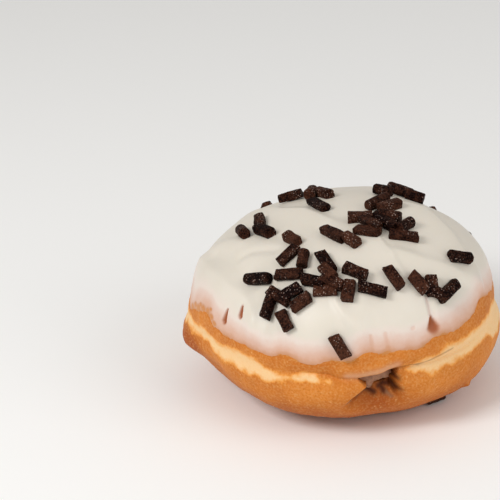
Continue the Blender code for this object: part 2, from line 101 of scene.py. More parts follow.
# The dent that the filling nozzle left under the hole, its side walls and the tongue of
# dough between them
MOUTH_TURN = math.radians(11.8)
DENT_DEPTH = 4.8 * MM
DENT_DROP = math.radians(18)
DENT_TOP_SOFTNESS = math.radians(1.5)
DENT_SIDE = math.radians(1.5)
DENT_WIDENING = 2.5
CREASE_DEPTH = 1.4 * MM
CREASE_SPREAD = math.radians(1.1)
TONGUE_HEIGHT = 1.3 * MM
TONGUE_SPREAD = math.radians(3.4)
TONGUE_START = math.radians(8)
# The turn of each side wall at some rises, and creases in the dent as turn and rise of their
# points, all in degrees, with depth in mm and reach in degrees
DENT_RISES = (-19.0, -14.0, -10.0, -7.2, -4.4, -3.4, -2.2, 0.0)
DENT_LEFT_WALL = (-3.0, -1.0, 2.0, 5.2, 8.2, 8.0, 5.6, 3.6)
DENT_RIGHT_WALL = (23.5, 22.5, 20.8, 19.2, 18.6, 18.4, 18.0, 17.8)
DENT_CREASES = (
    ((14.0, -6.0), (14.6, -7.6), (15.8, -9.8), (17.8, -12.2), 0.9, 1.0),
    ((16.8, -8.4), (17.4, -9.8), (18.6, -11.6), (20.4, -13.8), -0.7, 0.8),
)

# The filling hole: its lower edge as turn and rise in degrees, and how far in it reaches
MOUTH_FOOT = (
    (2.8, 0.6), (5.0, -2.4), (7.0, -4.6), (9.5, -5.4), (12.0, -5.4), (14.5, -5.6),
    (17.0, -4.6), (18.4, -2.0), (20.0, 2.0),
)
MOUTH_DEPTH = 5.5 * MM
LIP_SOFTNESS = math.radians(0.45)
MOUTH_FOOT_SOFTNESS = math.radians(1.3)

# The lobe of lower crust that stands out on the left
LOBE_TURN = math.radians(-85)
LOBE_FRONT_REACH = math.radians(13)
LOBE_BACK_REACH = math.radians(30)
LOBE_OUT = 3.0 * MM
LOBE_RISE = math.radians(-6)
LOBE_ABOVE = math.radians(10)
LOBE_BELOW = math.radians(4)

# Hollows and swellings of the bun: turn and rise of the middle, reach in each, all in
# degrees, and height in mm
PATCHES = (
    (-65, -12, 11, 8, -1.7), (-28, -26, 20, 12, 0.7), (-48, -20, 12, 10, -0.5),
    (14, -30, 11, 14, -0.9), (36, -26, 18, 12, -0.6), (79, -7, 17, 11, 0.8),
    (56, -18, 10, 9, 0.6), (86, 8, 12, 7, -0.7), (-100, 8, 16, 12, -0.4),
    (-148, 40, 16, 12, -0.9), (152, 41, 14, 12, 0.7), (120, 38, 16, 12, -1.0),
    (-176, -20, 26, 12, -0.6), (-168, 18, 20, 14, 0.5), (-120, -24, 20, 12, 0.5),
    (-3, -8, 6, 6, 0.6), (28, -9, 6, 7, 0.7), (53.5, -18.5, 1.4, 1.2, 0.9),
)
BASE_BLEND = math.radians(10)
SWELL = 0.35 * MM
SWELL_WAVE = 26 * MM
SWELL_WAVES = 5
SWELL_SEED = 5

# Fried skin: wrinkles and blisters, as size and height
WRINKLE_SIZE = 3.2 * MM
WRINKLE_HEIGHT = 0.16 * MM
BLISTER_SIZE = 1.1 * MM
BLISTER_HEIGHT = 0.07 * MM

# The pale ring's upper and lower edge, as turn and rise in degrees. It closes at the hole.
PALE_TOP = (
    (-180, 4.6), (-150, 5.2), (-125, 3.8), (-100, 5.0), (-79, 6.0), (-73, 5.0), (-67, 5.6),
    (-55, 3.4), (-43, 4.6), (-37, 3.4), (-30, 0.8), (-25, -0.9), (-19, 0.0), (-13, 0.6), (-7, -1.4),
    (-1, -2.0), (12, -0.4), (20, 1.0), (26, 2.2), (32, 2.6), (38, 4.2), (50, 5.0), (62, 5.9),
    (69, 7.6), (80, 6.0), (100, 4.8), (130, 3.6), (155, 4.9),
)
PALE_FOOT = (
    (-180, -4.0), (-150, -3.2), (-120, -4.0), (-95, -1.0), (-79, 1.0), (-73, 1.3), (-67, 0.5),
    (-61, -1.2), (-49, -2.6), (-37, -3.5), (-31, -4.5), (-25, -3.8), (-13, -2.3), (-7, -2.4),
    (-1, -1.4), (8, 1.4), (17, 1.8), (21, 0.4), (26, -1.6), (32, -4.0), (38, -2.6), (50, -2.7),
    (56, -1.3), (62, -2.0), (69, -4.2), (100, -4.4), (135, -3.4), (160, -4.6),
)
PALE_TOP_SOFTNESS = math.radians(4.6)
PALE_FOOT_SOFTNESS = math.radians(4.0)
PALE_MOTTLE = math.radians(1.5)
PALE_MOTTLE_SIZE = 3.2 * MM

# Where the crust is browner or paler than the rest: turn, rise, reach in each in degrees,
# and how much
BROWN_PLACES = (
    (-79, -5, 8, 5, 1.0), (-95, -12, 24, 10, 0.35), (12, -12, 9, 6, 0.35),
    (-28, 9, 30, 5, 0.2), (60, 8, 20, 4, 0.15), (-5, 4, 14, 3, 0.12),
    (-12, -9, 14, 5, -0.12), (32, -9, 10, 5, -0.15), (80, -16, 22, 9, -0.2),
    (150, -14, 30, 8, 0.15), (-150, -30, 30, 10, 0.15),
)
BROWN_START = math.radians(-3)
BROWN_END = math.radians(-30)
BROWN_LEAST = 0.25
BROWN_GAIN = 0.6
# Painted shade on the wall inside the hole: how deep it reaches its full strength, and where it is looked
# for
HOLE_SHADE_DEPTH = 2.5 * MM
HOLE_SHADE_REACH = math.radians(12)
HOLE_SHADE_LOWEST = math.radians(-8)
HOLE_SHADE_HIGHEST = math.radians(4)
# Dark places in the dent and at the hole, and smears of cream in the dent
MOUTH_SHADES = (
    ((12.4, -6.8), (15.0, -6.2), (17.4, -6.4), (18.8, -8.0)), ((13.4, -7.4), (14.2, -8.8)),
    ((8.4, -7.6), (10.4, -8.6)), ((17.0, -2.0), (18.0, -2.8)),
)
SHADE_REACH = 1.6
# The pale rim of the lip over the hole
LIP_LINE = ((1.0, 0.2), (5.0, 0.1), (11.0, 0.8), (15.0, 1.8), (18.5, 2.6))
LIP_HALF_WIDTH = 1.5
MOUTH_FILMS = (
    ((9.0, -6.2), (6.4, -8.2), (3.4, -10.6)), ((15.4, -9.8), (17.0, -11.4)), ((0.5, -12.4), (1.4, -12.0)),
)
FILM_REACH = 0.8
# Painted shade along the thin crack in the seam to the right of the hole
CRACK_SHADE_LINE = (
    (18.5, 1.2), (24.0, 1.3), (26.5, 0.6), (29.5, 1.1), (32.5, 1.6), (35.0, 2.0), (38.0, 2.8), (40.0, 3.0),
)
CRACK_SHADE_HALF_WIDTH = 0.38

# The icing: its lower edge, with runs and bays, as turn and rise in degrees
EDGE_LINE = (
    (-180, 10.0), (-155, 7.0), (-132, 11.5), (-108, 8.0), (-90, 8.5), (-82, 7.2), (-75, 9.8),
    (-64, 12.4), (-58, 9.0), (-50, 8.0), (-40, 7.4), (-34, 6.2), (-28, 5.8), (-23, 7.0),
    (-12, 4.8), (-4, 5.8), (1, 5.5), (9, 8.2), (14, 7.4), (27, 6.7), (35, 9.0), (40, 8.4),
    (49, 9.4), (60, 13.3), (66, 12.0), (74, 10.8), (88, 9.0), (102, 8.0), (122, 11.0), (150, 7.5),
)
ICING_THICKNESS = 1.2 * MM
ICING_BLEND = math.radians(6)
CLEARANCE = 0.3 * MM
ICING_RIM = 0.25 * MM
ICING_RIM_BLEND = math.radians(2.6)
ICING_SINK = 0.15 * MM

# Folds that the icing set in. Each is a crest over the plan, with its points in mm, its
# height, and how far it reaches to its left and to its right as it runs.
FOLDS = (
    (((-37, 7), (-34, -6), (-30.6, -13.6), (-27.9, -19.5), (-25.4, -22.9), (-23.5, -26.1), (-22.2, -30)),
     0.8, 1.1, 4.0),
    (((-32.5, -2), (-28, -11), (-24.8, -17.5), (-21.8, -23)), -0.6, 2.6, 1.6),
    (((-34.8, 4.9), (-31.9, 2.8), (-27.5, -1.0), (-23.9, -4.2)), 0.7, 1.8, 3.6),
    (((-25, -11), (-22.4, -11.4), (-19.4, -13), (-16, -15)), -0.5, 1.4, 1.4),
    (((-22, 18), (-20, 14.6), (-14.4, 6.1), (-8.1, 2), (-2.1, -6.5)), 0.9, 1.8, 5.0),
    (((10.8, -17.9), (12.7, -22), (14.2, -25.5), (15.6, -27.4)), 0.5, 1.1, 3.6),
    (((15.1, -22.4), (21.7, -23.3), (27.7, -22.5), (32.1, -21.6), (34.7, -20)), 0.9, 1.8, 3.0),
    (((18.7, 1.5), (23.6, 1.2), (26.9, -4.3), (30, -8.6), (31.6, -12.1), (35.1, -15.6), (36.3, -19.3)),
     1.0, 1.8, 5.0),
    (((-1.2, -34.6), (0.6, -37.1), (2.7, -38.6), (4.8, -39.3)), 0.5, 1.6, 0.9),
    (((5.0, -33), (5.9, -36.5), (6.1, -39.4)), 0.35, 1.8, 4.0),
    (((22.6, -31.6), (23.3, -33.8)), -0.5, 0.8, 0.8),
    (((-21.6, -30), (-20, -32.8)), 0.9, 2.1, 2.1),
    (((-20, 24), (-6, 29), (10, 27)), 0.8, 4.0, 2.4),
)

# How the icing covers the crust: how far in from its edge it is thick enough to hide it, the
# thin places (turn, rise, reach in each in degrees, share lost), and the bare marks in it
# (two ends as turn and rise, and half width, all in degrees)
COVER_FULL = math.radians(10)
COVER_WAVE = math.radians(0.8)
COVER_WAVE_SIZE = 3.0 * MM
THIN_PLACES = (
    (-72, 16, 13, 6, 0.42), (-55, 15, 10, 5, 0.32), (-40, 11, 8, 4, 0.25), (-8, 9, 12, 4, 0.2),
    (12, 14, 10, 4, 0.12), (48, 13, 12, 4, 0.15), (-105, 16, 14, 6, 0.25),
    (140, 14, 16, 5, 0.3), (-165, 15, 14, 5, 0.25),
)
BARE_MARKS = (
    ((-51.8, 13.7), (-51.2, 18.2), 1.25, 0.5), ((-43.2, 18.0), (-43.4, 21.6), 1.1, 0.6),
    ((33.6, 12.6), (33.8, 16.4), 2.3, 0.4),
)
THIN_MARKS = (
    ((15.6, 8.0), (15.4, 14.5), 1.1, 0.7), ((10.2, 9.0), (10.0, 14.5), 1.0, 0.6),
    ((33.8, 17.5), (34.6, 22.5), 0.9, 0.9), ((25.6, 14.2), (26.0, 14.4), 0.8, 0.8),
)
# How much of the thickness a bare mark takes, and a thin mark's share of its depth and colour
BARE_SHARE = 0.6
THIN_DEPTH_SHARE = 0.15
THIN_COLOUR_SHARE = 0.35
# Burst bubbles near its edge on the left: turn, rise and reach in degrees. They are a little
# longer round the bun than up it.
BUBBLE_SQUEEZE = 0.7
BUBBLES = (
    (-79, 9.4, 1.5), (-76, 11.6, 1.3), (-72.4, 11.8, 1.5), (-68, 13.2, 1.5), (-64, 13.6, 1.4),
    (-60.6, 12.4, 1.4), (-58, 10.8, 1.2), (-71, 13.6, 1.0), (-62, 15.0, 0.8),
)

# Mesh density
CRUST_COLUMNS = 470
ICING_COLUMNS = 500
CROWDING = 2.4
CRUST_CROWD = (math.radians(11.8), math.radians(24))
ICING_CROWD = (math.radians(-10), math.radians(65))
RIM_ROWS = 26
DENT_ROWS = 30
MOUTH_ROWS = 40
UPPER_ROWS = 26
HIDDEN_ROWS = 10
MOUTH_ROWS_FROM = math.radians(-7.5)
MOUTH_ROWS_TO = math.radians(1.2)
UNDER_ICING = math.radians(5)
EDGE_ROWS = 44
EDGE_ROWS_REACH = math.radians(9)
TOP_ROWS = 104
INNER_ROWS = 24

# A sprinkle: a stick of chocolate, round or split along its length
STICK_RADIUS = 1.6 * MM
STICK_SINK = 0.5 * MM
ROUND = "round"
SPLIT = "split"
SPLIT_TOP = 0.35
STICK_SIDES = 28
STICK_STATIONS = (-1, -0.985, -0.94, -0.8, -0.5, -0.15, 0.2, 0.55, 0.82, 0.94, 0.985, 1)
STICK_RIM = 0.06
STICK_RIM_SHARPNESS = 40
STICK_WAVE = 2.2
STICK_WANDER = 0.05
# Sections of the sticks: squareness (2 is round), width and height as shares of the radius
SECTIONS = ((2.0, 0.97, 0.97), (4.5, 0.9, 0.82), (2.6, 0.94, 0.95), (7.0, 0.86, 0.78), (3.2, 0.98, 0.88))
STICK_FORMS = 10
STICK_LENGTH = 6.5 * MM
END_SLANT = 0.25
CHIP_SIZE = 0.8 * MM
CHIP_DEPTH = 0.35 * MM
SHARP_ANGLE = math.radians(38)
# How light or dark one stick is against another
TONES = (0.0, 0.5)
TONE_SEED = 9

# Each row: plan place in mm, heading in degrees from +X, length in mm, kind, lift in mm
# where it lies on others
LEFT_SPRINKLES = (
    (-25.6, -1.8, -78, 6.5, ROUND, 0), (-20.7, 0.9, -89, 5.5, ROUND, 0),
    (-19.5, -5.8, -56, 6.5, ROUND, 0), (-11.7, -14.9, -57, 5.5, ROUND, 0),
    (-21.0, -23.8, -40, 8.0, ROUND, 0), (-13.0, -27.0, -18, 7.0, SPLIT, 0),
    (-13.0, -20.9, 38, 6.5, SPLIT, 0), (-9.0, -24.0, -100, 5.0, ROUND, 0),
)
FRONT_SPRINKLES = (
    (-3.0, -26.5, -65, 7.0, SPLIT, 0), (-2.5, -30.0, -49, 4.5, ROUND, 0.6),
    (-6.5, -31.0, -24, 6.0, ROUND, 0), (-1.5, -32.5, -31, 6.5, ROUND, 0.5),
    (-3.6, -33.8, -11, 6.0, SPLIT, 0), (2.4, -34.9, -105, 5.5, ROUND, 0),
    (-12.4, -31.9, 4, 6.0, SPLIT, 0.8), (-18.4, -31.6, -123, 7.5, ROUND, 0),
    (-15.6, -31.2, -44, 6.5, ROUND, 0), (-10.0, -34.5, 10, 5.5, ROUND, 0),
    (-14.5, -35.8, -59, 5.5, SPLIT, 0), (-0.7, -42.2, -32, 6.5, SPLIT, 0),
    (4.5, -30.5, -26, 6.5, ROUND, 0), (8.5, -34.5, -8, 7.5, SPLIT, 0),
    (14.4, -31.4, -49, 6.5, SPLIT, 0),
)
RIGHT_SPRINKLES = (
    (20.5, -31.1, -34, 6.0, ROUND, 0), (23.9, -30.4, -86, 5.5, SPLIT, 0),
    (24.5, -31.2, 8, 5.0, ROUND, -0.3), (28.0, -29.5, 49, 7.0, ROUND, 0),
    (32.3, -18.8, 26, 6.2, ROUND, 0),
)
TOP_SPRINKLES = (
    (-0.5, -16.5, -49, 7.5, ROUND, 0), (4.0, -20.0, -50, 5.0, ROUND, 0),
    (-4.4, 2.9, -62, 8.0, SPLIT, 0), (12.1, 0.0, 47, 8.0, ROUND, 0),
    (15.0, -3.0, 30, 6.5, ROUND, 0), (14.8, -9.8, -15, 5.5, ROUND, 0.4),
    (7.0, -9.1, -2, 6.5, ROUND, 0), (9.5, -13.0, -49, 7.0, SPLIT, 0.5),
    (8.5, -16.5, -23, 6.5, SPLIT, 0), (13.5, -12.0, -53, 8.0, ROUND, 0),
    (18.4, -13.3, 50, 6.0, ROUND, 0), (18.0, -17.5, 0, 7.5, SPLIT, 0),
)
FAR_SPRINKLES = (
    (-2.7, 12.0, -60, 6.5, ROUND, 0), (-6.2, 14.0, 80, 5.5, ROUND, 0.2),
    (-11.8, 16.0, -15, 6.5, ROUND, 0.3), (13.8, 10.0, -35, 5.0, ROUND, 0.3),
    (18.6, 14.6, -35, 7.0, ROUND, 0.3), (20.9, 13.6, -20, 5.0, ROUND, 0.3),
    (22.4, 10.2, -10, 5.0, ROUND, 0.3),
)
# One that fell off lies under the belly: its middle in mm, heading in degrees and length in mm
STRAY_MIDDLE = (23.6, -18.6, 1.7)
STRAY_HEADING = 32
STRAY_LENGTH = 5.6
# The side that the front view doesn't reach gets its sprinkles by a rule: how far the bun
# there leans away from AWAY, and how near each other they may lie
BACK_COUNT = 13
BACK_TRIES = 1500
BACK_SEED = 18
BACK_SPACING = 7.5 * MM
BACK_TURN_LIMIT = math.radians(80)
BACK_LOWEST = math.radians(15)
BACK_HIGHEST = math.radians(36)
BACK_SPLIT_SHARE = 0.35
BACK_LENGTHS = (5.5, 7.5)
AWAY = (0.0, math.cos(math.radians(25)), -math.sin(math.radians(25)))
AWAY_SHARE = 0.36
HALVINGS = 40
SLOPE_STEP = 0.03

# The cream: a flat core in the middle of the bun and a neck from it to the filling hole
CORE_HALF_WIDTH = 17 * MM
CORE_HALF_HEIGHT = 6.0 * MM
CORE_BACK = -16 * MM
CREAM_BACK = -15.5 * MM
NECK_HALF_WIDTH = 5.0 * MM
NECK_HALF_HEIGHT = 1.5 * MM
NECK_LIFT = -1.5 * MM
NECK_START = 29 * MM
NECK_END = 39.4 * MM
NECK_ASIDE = -0.8 * MM
MOUTH_TILT = math.radians(1.5)
SLAB_LENGTH = 5.0 * MM
SLAB_SQUARENESS = 0.55
# The torn lower edge of the slab at the hole: mm to the right of its middle, and mm below it
SLAB_FOOT = (
    (-5.0, 0.3), (-4.2, 1.0), (-3.2, 1.1), (-2.6, 1.7), (-2.2, 3.0), (-1.0, 3.3), (-0.2, 2.6),
    (0.1, 1.3), (1.4, 1.5), (2.6, 1.2), (3.8, 1.6), (4.6, 0.6),
)
CREAM_SIDES = 120
CREAM_SECTIONS = 120
CREAM_END_ROUND = 1.0 * MM
CREAM_LUMP_SIZE = 2.2 * MM
CREAM_LUMP_HEIGHT = 0.5 * MM
CREAM_GRIT_SIZE = 0.6 * MM
CREAM_GRIT_HEIGHT = 0.2 * MM

# The studio: half the floor's width, how strong the room's light is, and each lamp's name,
# place, width and power
FLOOR_HALF = 3.0
ROOM_LIGHT = 0.51
SOFTBOXES = (
    ("main_softbox", (-0.50, -0.40, 0.60), 0.32, 3.5),
    ("right_softbox", (0.60, -0.45, 0.40), 0.6, 1.9),
)


def ease(value):
    """0 to 1 with a soft start and end"""
    value = np.clip(value, 0.0, 1.0)
    return value * value * (3 - 2 * value)


def hump(value):
    """1 at zero, fading smoothly on both sides"""
    return np.exp(-value * value)


def around(turn, line):
    """The rise, in radians, of a closed line given by a few places round the bun"""
    turns = np.array([place[0] for place in line] + [line[0][0] + 360.0])
    rises = np.array([place[1] for place in line] + [line[0][1]])
    at = (np.degrees(turn) - turns[0]) % 360 + turns[0]
    before = np.clip(np.searchsorted(turns, at, side="right") - 1, 0, len(turns) - 2)
    along = (at - turns[before]) / (turns[before + 1] - turns[before])
    return np.radians(rises[before] + (rises[before + 1] - rises[before]) * ease(along))


def turn_from(turn, middle):
    """How far a turn is from another one, from -pi to pi"""
    return (turn - middle + math.pi) % (2 * math.pi) - math.pi


def ring_reach(turn):
    return RING_RADIUS * (1 + RING_DRIFT * np.sin(turn) + RING_OVAL * np.sin(2 * turn))


def belly_depth(turn):
    return BELLY * (1 + BELLY_LEAN * np.sin(turn))


def plain_radius(turn, rise):
    """The bun without its seam, dent and swellings"""
    crown = CROWN * (1 + CROWN_LEAN * np.sin(turn) * np.cos(rise))
    tall = np.where(rise > 0, crown, belly_depth(turn))
    fullness = np.where(rise > 0, CROWN_FULLNESS, BELLY_FULLNESS)
    flat_part = (np.cos(rise) / ring_reach(turn)) ** fullness
    steep_part = (np.abs(np.sin(rise)) / tall) ** fullness
    return (flat_part + steep_part) ** (-1 / fullness)


def points_at(turn, rise, radius):
    """Places in space, with whatever would reach below the table pressed flat on it"""
    flat = radius * np.cos(rise)
    height = np.maximum(RING_HEIGHT + radius * np.sin(rise), 0.0)
    return np.stack([flat * np.sin(turn), -flat * np.cos(turn), height], axis=-1)


def turn_and_rise(places):
    """The turn and rise of places in space, and how far they are from the ring's middle"""
    flat = np.hypot(places[..., 0], places[..., 1])
    above = places[..., 2] - RING_HEIGHT
    return np.arctan2(places[..., 0], -places[..., 1]), np.arctan2(above, flat), np.hypot(flat, above)


def swell(turn, rise):
    """Slow random swelling, the same on every run"""
    places = points_at(turn, rise, plain_radius(turn, rise))
    draw = random.Random(SWELL_SEED)
    total = 0.0
    for _ in range(SWELL_WAVES):
        heading = np.array([draw.gauss(0, 1) for _ in range(3)])
        heading /= np.linalg.norm(heading)
        length = SWELL_WAVE * draw.uniform(0.7, 1.5)
        phase = draw.uniform(0, 2 * math.pi)
        total = total + np.sin(places @ heading * (2 * math.pi / length) + phase)
    return SWELL * total / SWELL_WAVES


def dent(turn, rise):
    """The dent under the hole, with a crease along each side wall and a tongue between them"""
    below = around(turn, SEAM_LINE) - rise
    fade = ease(1 - below / DENT_DROP) * ease(below / DENT_TOP_SOFTNESS)
    left = turn - np.radians(np.interp(np.degrees(rise), DENT_RISES, DENT_LEFT_WALL))
    right = np.radians(np.interp(np.degrees(rise), DENT_RISES, DENT_RIGHT_WALL)) - turn
    off = np.minimum(left, right)
    inside = ease(off / (DENT_SIDE * (1 + DENT_WIDENING * ease(below / DENT_DROP))) + 0.5)
    crease = CREASE_DEPTH * hump((off - DENT_SIDE) / CREASE_SPREAD)
    tongue = TONGUE_HEIGHT * hump((turn - MOUTH_TURN) / TONGUE_SPREAD) * ease(below / TONGUE_START)
    for *path, depth, reach in DENT_CREASES:
        distance, _ = distance_to_path(np.degrees(turn), np.degrees(rise), path)
        crease = crease + depth * MM * hump(distance / reach)
    return fade * (DENT_DEPTH * inside + crease - tongue)


def places_among(turn, rise, places):
    """Sum of soft patches over turn and rise"""
    total = 0.0
    for at_turn, at_rise, turn_reach, rise_reach, amount in places:
        round_bun = turn_from(turn, math.radians(at_turn)) / math.radians(turn_reach)
        upward = (rise - math.radians(at_rise)) / math.radians(rise_reach)
        total = total + amount * hump(round_bun) * hump(upward)
    return total


def lobe(turn, rise):
    above = rise - LOBE_RISE
    forward = turn_from(turn, LOBE_TURN)
    rise_reach = np.where(above > 0, LOBE_ABOVE, LOBE_BELOW)
    turn_reach = np.where(forward > 0, LOBE_FRONT_REACH, LOBE_BACK_REACH)
    return LOBE_OUT * hump(forward / turn_reach) * hump(above / rise_reach)


def base_rim_rise(turn):
    """The rise at which the belly meets the table"""
    low = (RING_HEIGHT / belly_depth(turn)) ** BELLY_FULLNESS
    reach = ring_reach(turn) * (1 - low) ** (1 / BELLY_FULLNESS)
    return -np.arctan2(RING_HEIGHT, reach)


def crust_radius(turn, rise):
    """The bun's own surface, set back under the icing by the icing's thickness"""
    from_seam = rise - around(turn, SEAM_LINE)
    from_edge = rise - around(turn, EDGE_LINE)
    near_crack = ease(CRACK_FADE - np.abs(turn_from(turn, CRACK_MIDDLE)) / CRACK_REACH)
    above_rim = ease((rise - base_rim_rise(turn)) / BASE_BLEND)
    uneven = swell(turn, rise) + MM * places_among(turn, rise, PATCHES)
    radius = plain_radius(turn, rise) + above_rim * uneven
    radius -= (ICING_THICKNESS + CLEARANCE) * ease(from_edge / ICING_BLEND)
    radius -= WAIST_DEPTH * hump(from_seam / WAIST_SPREAD)
    radius += CRUST_ROLL * near_crack * hump((from_seam - CRUST_ROLL_RISE) / CRUST_ROLL_SPREAD)
    radius -= CRACK_DEPTH * near_crack * hump(from_seam / CRACK_SPREAD)
    return radius - above_rim * dent(turn, rise) + lobe(turn, rise)


def mouth(turn, rise):
    """1 inside the filling hole, 0 outside it, with a sharp upper lip and a softer foot"""
    degrees = np.degrees(turn)
    turns = [place[0] for place in MOUTH_FOOT]
    foot = np.radians(np.interp(degrees, turns, [place[1] for place in MOUTH_FOOT]))
    between = (degrees > turns[0]) & (degrees < turns[-1])
    under_lip = ease((around(turn, SEAM_LINE) - rise) / LIP_SOFTNESS)
    return between * under_lip * ease((rise - foot) / MOUTH_FOOT_SOFTNESS)


def distance_to_path(x, y, path):
    """Distance to a run of straight stretches, and how far to their left a place is, 0 to 1"""
    nearest = np.full(np.shape(x), np.inf)
    leftness = np.zeros(np.shape(x))
    for (ax, ay), (bx, by) in zip(path[:-1], path[1:]):
        run_x = bx - ax
        run_y = by - ay
        length = math.hypot(run_x, run_y)
        along = np.clip(((x - ax) * run_x + (y - ay) * run_y) / length**2, 0, 1)
        off_x = x - ax - along * run_x
        off_y = y - ay - along * run_y
        distance = np.hypot(off_x, off_y) + TINY
        sideways = (run_x * off_y - run_y * off_x) / (length * distance)
        closer = distance < nearest
        leftness = np.where(closer, 0.5 + 0.5 * sideways, leftness)
        nearest = np.where(closer, distance, nearest)
    return nearest, leftness


def fold_height(turn, rise):
    places = points_at(turn, rise, plain_radius(turn, rise)) / MM
    total = 0.0
    for path, height, left_reach, right_reach in FOLDS:
        distance, leftness = distance_to_path(places[..., 0], places[..., 1], path)
        reach = right_reach + (left_reach - right_reach) * leftness
        total = total + height * hump(distance / reach)
    return total * MM


def icing_radius(turn, rise):
    """The icing's outside: flush with the bun, but for its folds and a low rim at its edge"""
    from_edge = rise - around(turn, EDGE_LINE)
    full = ease(from_edge / ICING_BLEND)
    rim = ICING_RIM * (1 - full) * ease(from_edge / ICING_RIM_BLEND)
    body = full * (ICING_THICKNESS + CLEARANCE + fold_height(turn, rise))
    return crust_radius(turn, rise) + body + rim


def marks(turn, rise, strokes):
    """1 on short strokes given by two ends and their half widths, fading to 0 beside them"""
    total = np.zeros(np.shape(turn))
    for (ax, ay), (bx, by), first, last in strokes:
        off_x = np.degrees(turn) - ax
        off_y = np.degrees(rise) - ay
        along = np.clip((off_x * (bx - ax) + off_y * (by - ay)) / ((bx - ax) ** 2 + (by - ay) ** 2), 0, 1)
        distance = np.hypot(off_x - along * (bx - ax), off_y - along * (by - ay))
        total = np.maximum(total, hump((distance / (first + (last - first) * along)) ** 2))
    return total


def wander(places, size, octaves=3):
    """Smooth noise of about -1 to 1 whose lumps are as wide as size"""
    return np.array([noise.fractal(Vector(place) / size, 1.0, 2.0, octaves) for place in places])


def column_turns(count, middle, spread):
    """Turns of the mesh's columns, closer together around a middle"""
    fine = np.linspace(-math.pi, math.pi, 4001)
    crowd = 1 + CROWDING * hump(turn_from(fine, middle) / spread)
    share = np.concatenate([[0.0], np.cumsum(crowd[1:] + crowd[:-1])])
    return np.interp(np.arange(count) / count, share / share[-1], fine)


def spread_rows(first, last, count):
    """Lines round the bun from one up to another, without the last"""
    return [first + (last - first) * step / count for step in range(count)]


def grid_faces(rows, columns, first):
    """Quads between closed rings of columns, wound so that they face out"""
    row, column = np.meshgrid(np.arange(rows - 1), np.arange(columns), indexing="ij")
    lower = first + row * columns
    after = (column + 1) % columns
    corners = [lower + column, lower + after, lower + columns + after, lower + columns + column]
    return np.stack(corners, axis=-1).reshape(-1, 4).tolist()


def fan(ring, middle):
    """Triangles from a ring to a point, facing out where the ring runs anticlockwise"""
    return [(ring[here], ring[(here + 1) % len(ring)], middle) for here in range(len(ring))]


def piece_from(name, places, faces):
    mesh = bpy.data.meshes.new(name)
    mesh.from_pydata(places.tolist(), [], faces)
    mesh.update()
    mesh.shade_smooth()
    made = bpy.data.objects.new(name, mesh)
    bpy.context.scene.collection.objects.link(made)
    return made


def places_of(piece):
    places = np.empty(len(piece.data.vertices) * 3)
    piece.data.vertices.foreach_get("co", places)
    return places.reshape(-1, 3)


def store(piece, name, values):
    """Keeps one number for each vertex, for the materials to read"""
    layer = piece.data.attributes.new(name, "FLOAT", "POINT")
    layer.data.foreach_set("value", np.clip(values, 0.0, 1.0).astype(np.float32))


def skin_relief(turn, rise):
    """Wrinkles and small blisters of fried dough, fading out on the flat spot"""
    places = points_at(turn, rise, plain_radius(turn, rise)).reshape(-1, 3)
    wrinkles = wander(places, WRINKLE_SIZE) * WRINKLE_HEIGHT
    blisters = np.abs(wander(places, BLISTER_SIZE, 2)) * BLISTER_HEIGHT
    above_rim = ease((rise - base_rim_rise(turn)) / BASE_BLEND)
    return above_rim * (wrinkles + blisters).reshape(np.shape(rise))


def make_crust():
    turns = column_turns(CRUST_COLUMNS, *CRUST_CROWD)
    seam = around(turns, SEAM_LINE)
    rim = base_rim_rise(turns)
    edge = around(turns, EDGE_LINE)
    straight_down = np.full_like(rim, -math.pi / 2)
    rows = [straight_down + (rim - straight_down) * share for share in (0.3, 0.6, 0.85)]
    rows += spread_rows(rim, seam - DENT_DROP, RIM_ROWS)
    rows += spread_rows(seam - DENT_DROP, seam + MOUTH_ROWS_FROM, DENT_ROWS)
    rows += spread_rows(seam + MOUTH_ROWS_FROM, seam + MOUTH_ROWS_TO, MOUTH_ROWS)
    rows += spread_rows(seam + MOUTH_ROWS_TO, edge + UNDER_ICING, UPPER_ROWS)
    rows += spread_rows(edge + UNDER_ICING, np.full_like(edge, math.pi / 2), HIDDEN_ROWS)
    rise = np.array(rows)
    turn = np.broadcast_to(turns, rise.shape)
    radius = crust_radius(turn, rise) + skin_relief(turn, rise) - MOUTH_DEPTH * mouth(turn, rise)
    places = points_at(turn, rise, radius).reshape(-1, 3)
    top = float(crust_radius(np.array(0.0), np.array(math.pi / 2)))
    ends = [[0.0, 0.0, 0.0], [0.0, 0.0, RING_HEIGHT + top]]
    bottom = len(places)
    faces = grid_faces(len(rows), CRUST_COLUMNS, 0)
    faces += [face[::-1] for face in fan(range(CRUST_COLUMNS), bottom)]
    faces += fan(range(bottom - CRUST_COLUMNS, bottom), bottom + 1)
    crust = piece_from("crust", np.concatenate([places, ends]), faces)
    paint_crust(crust)
    return crust


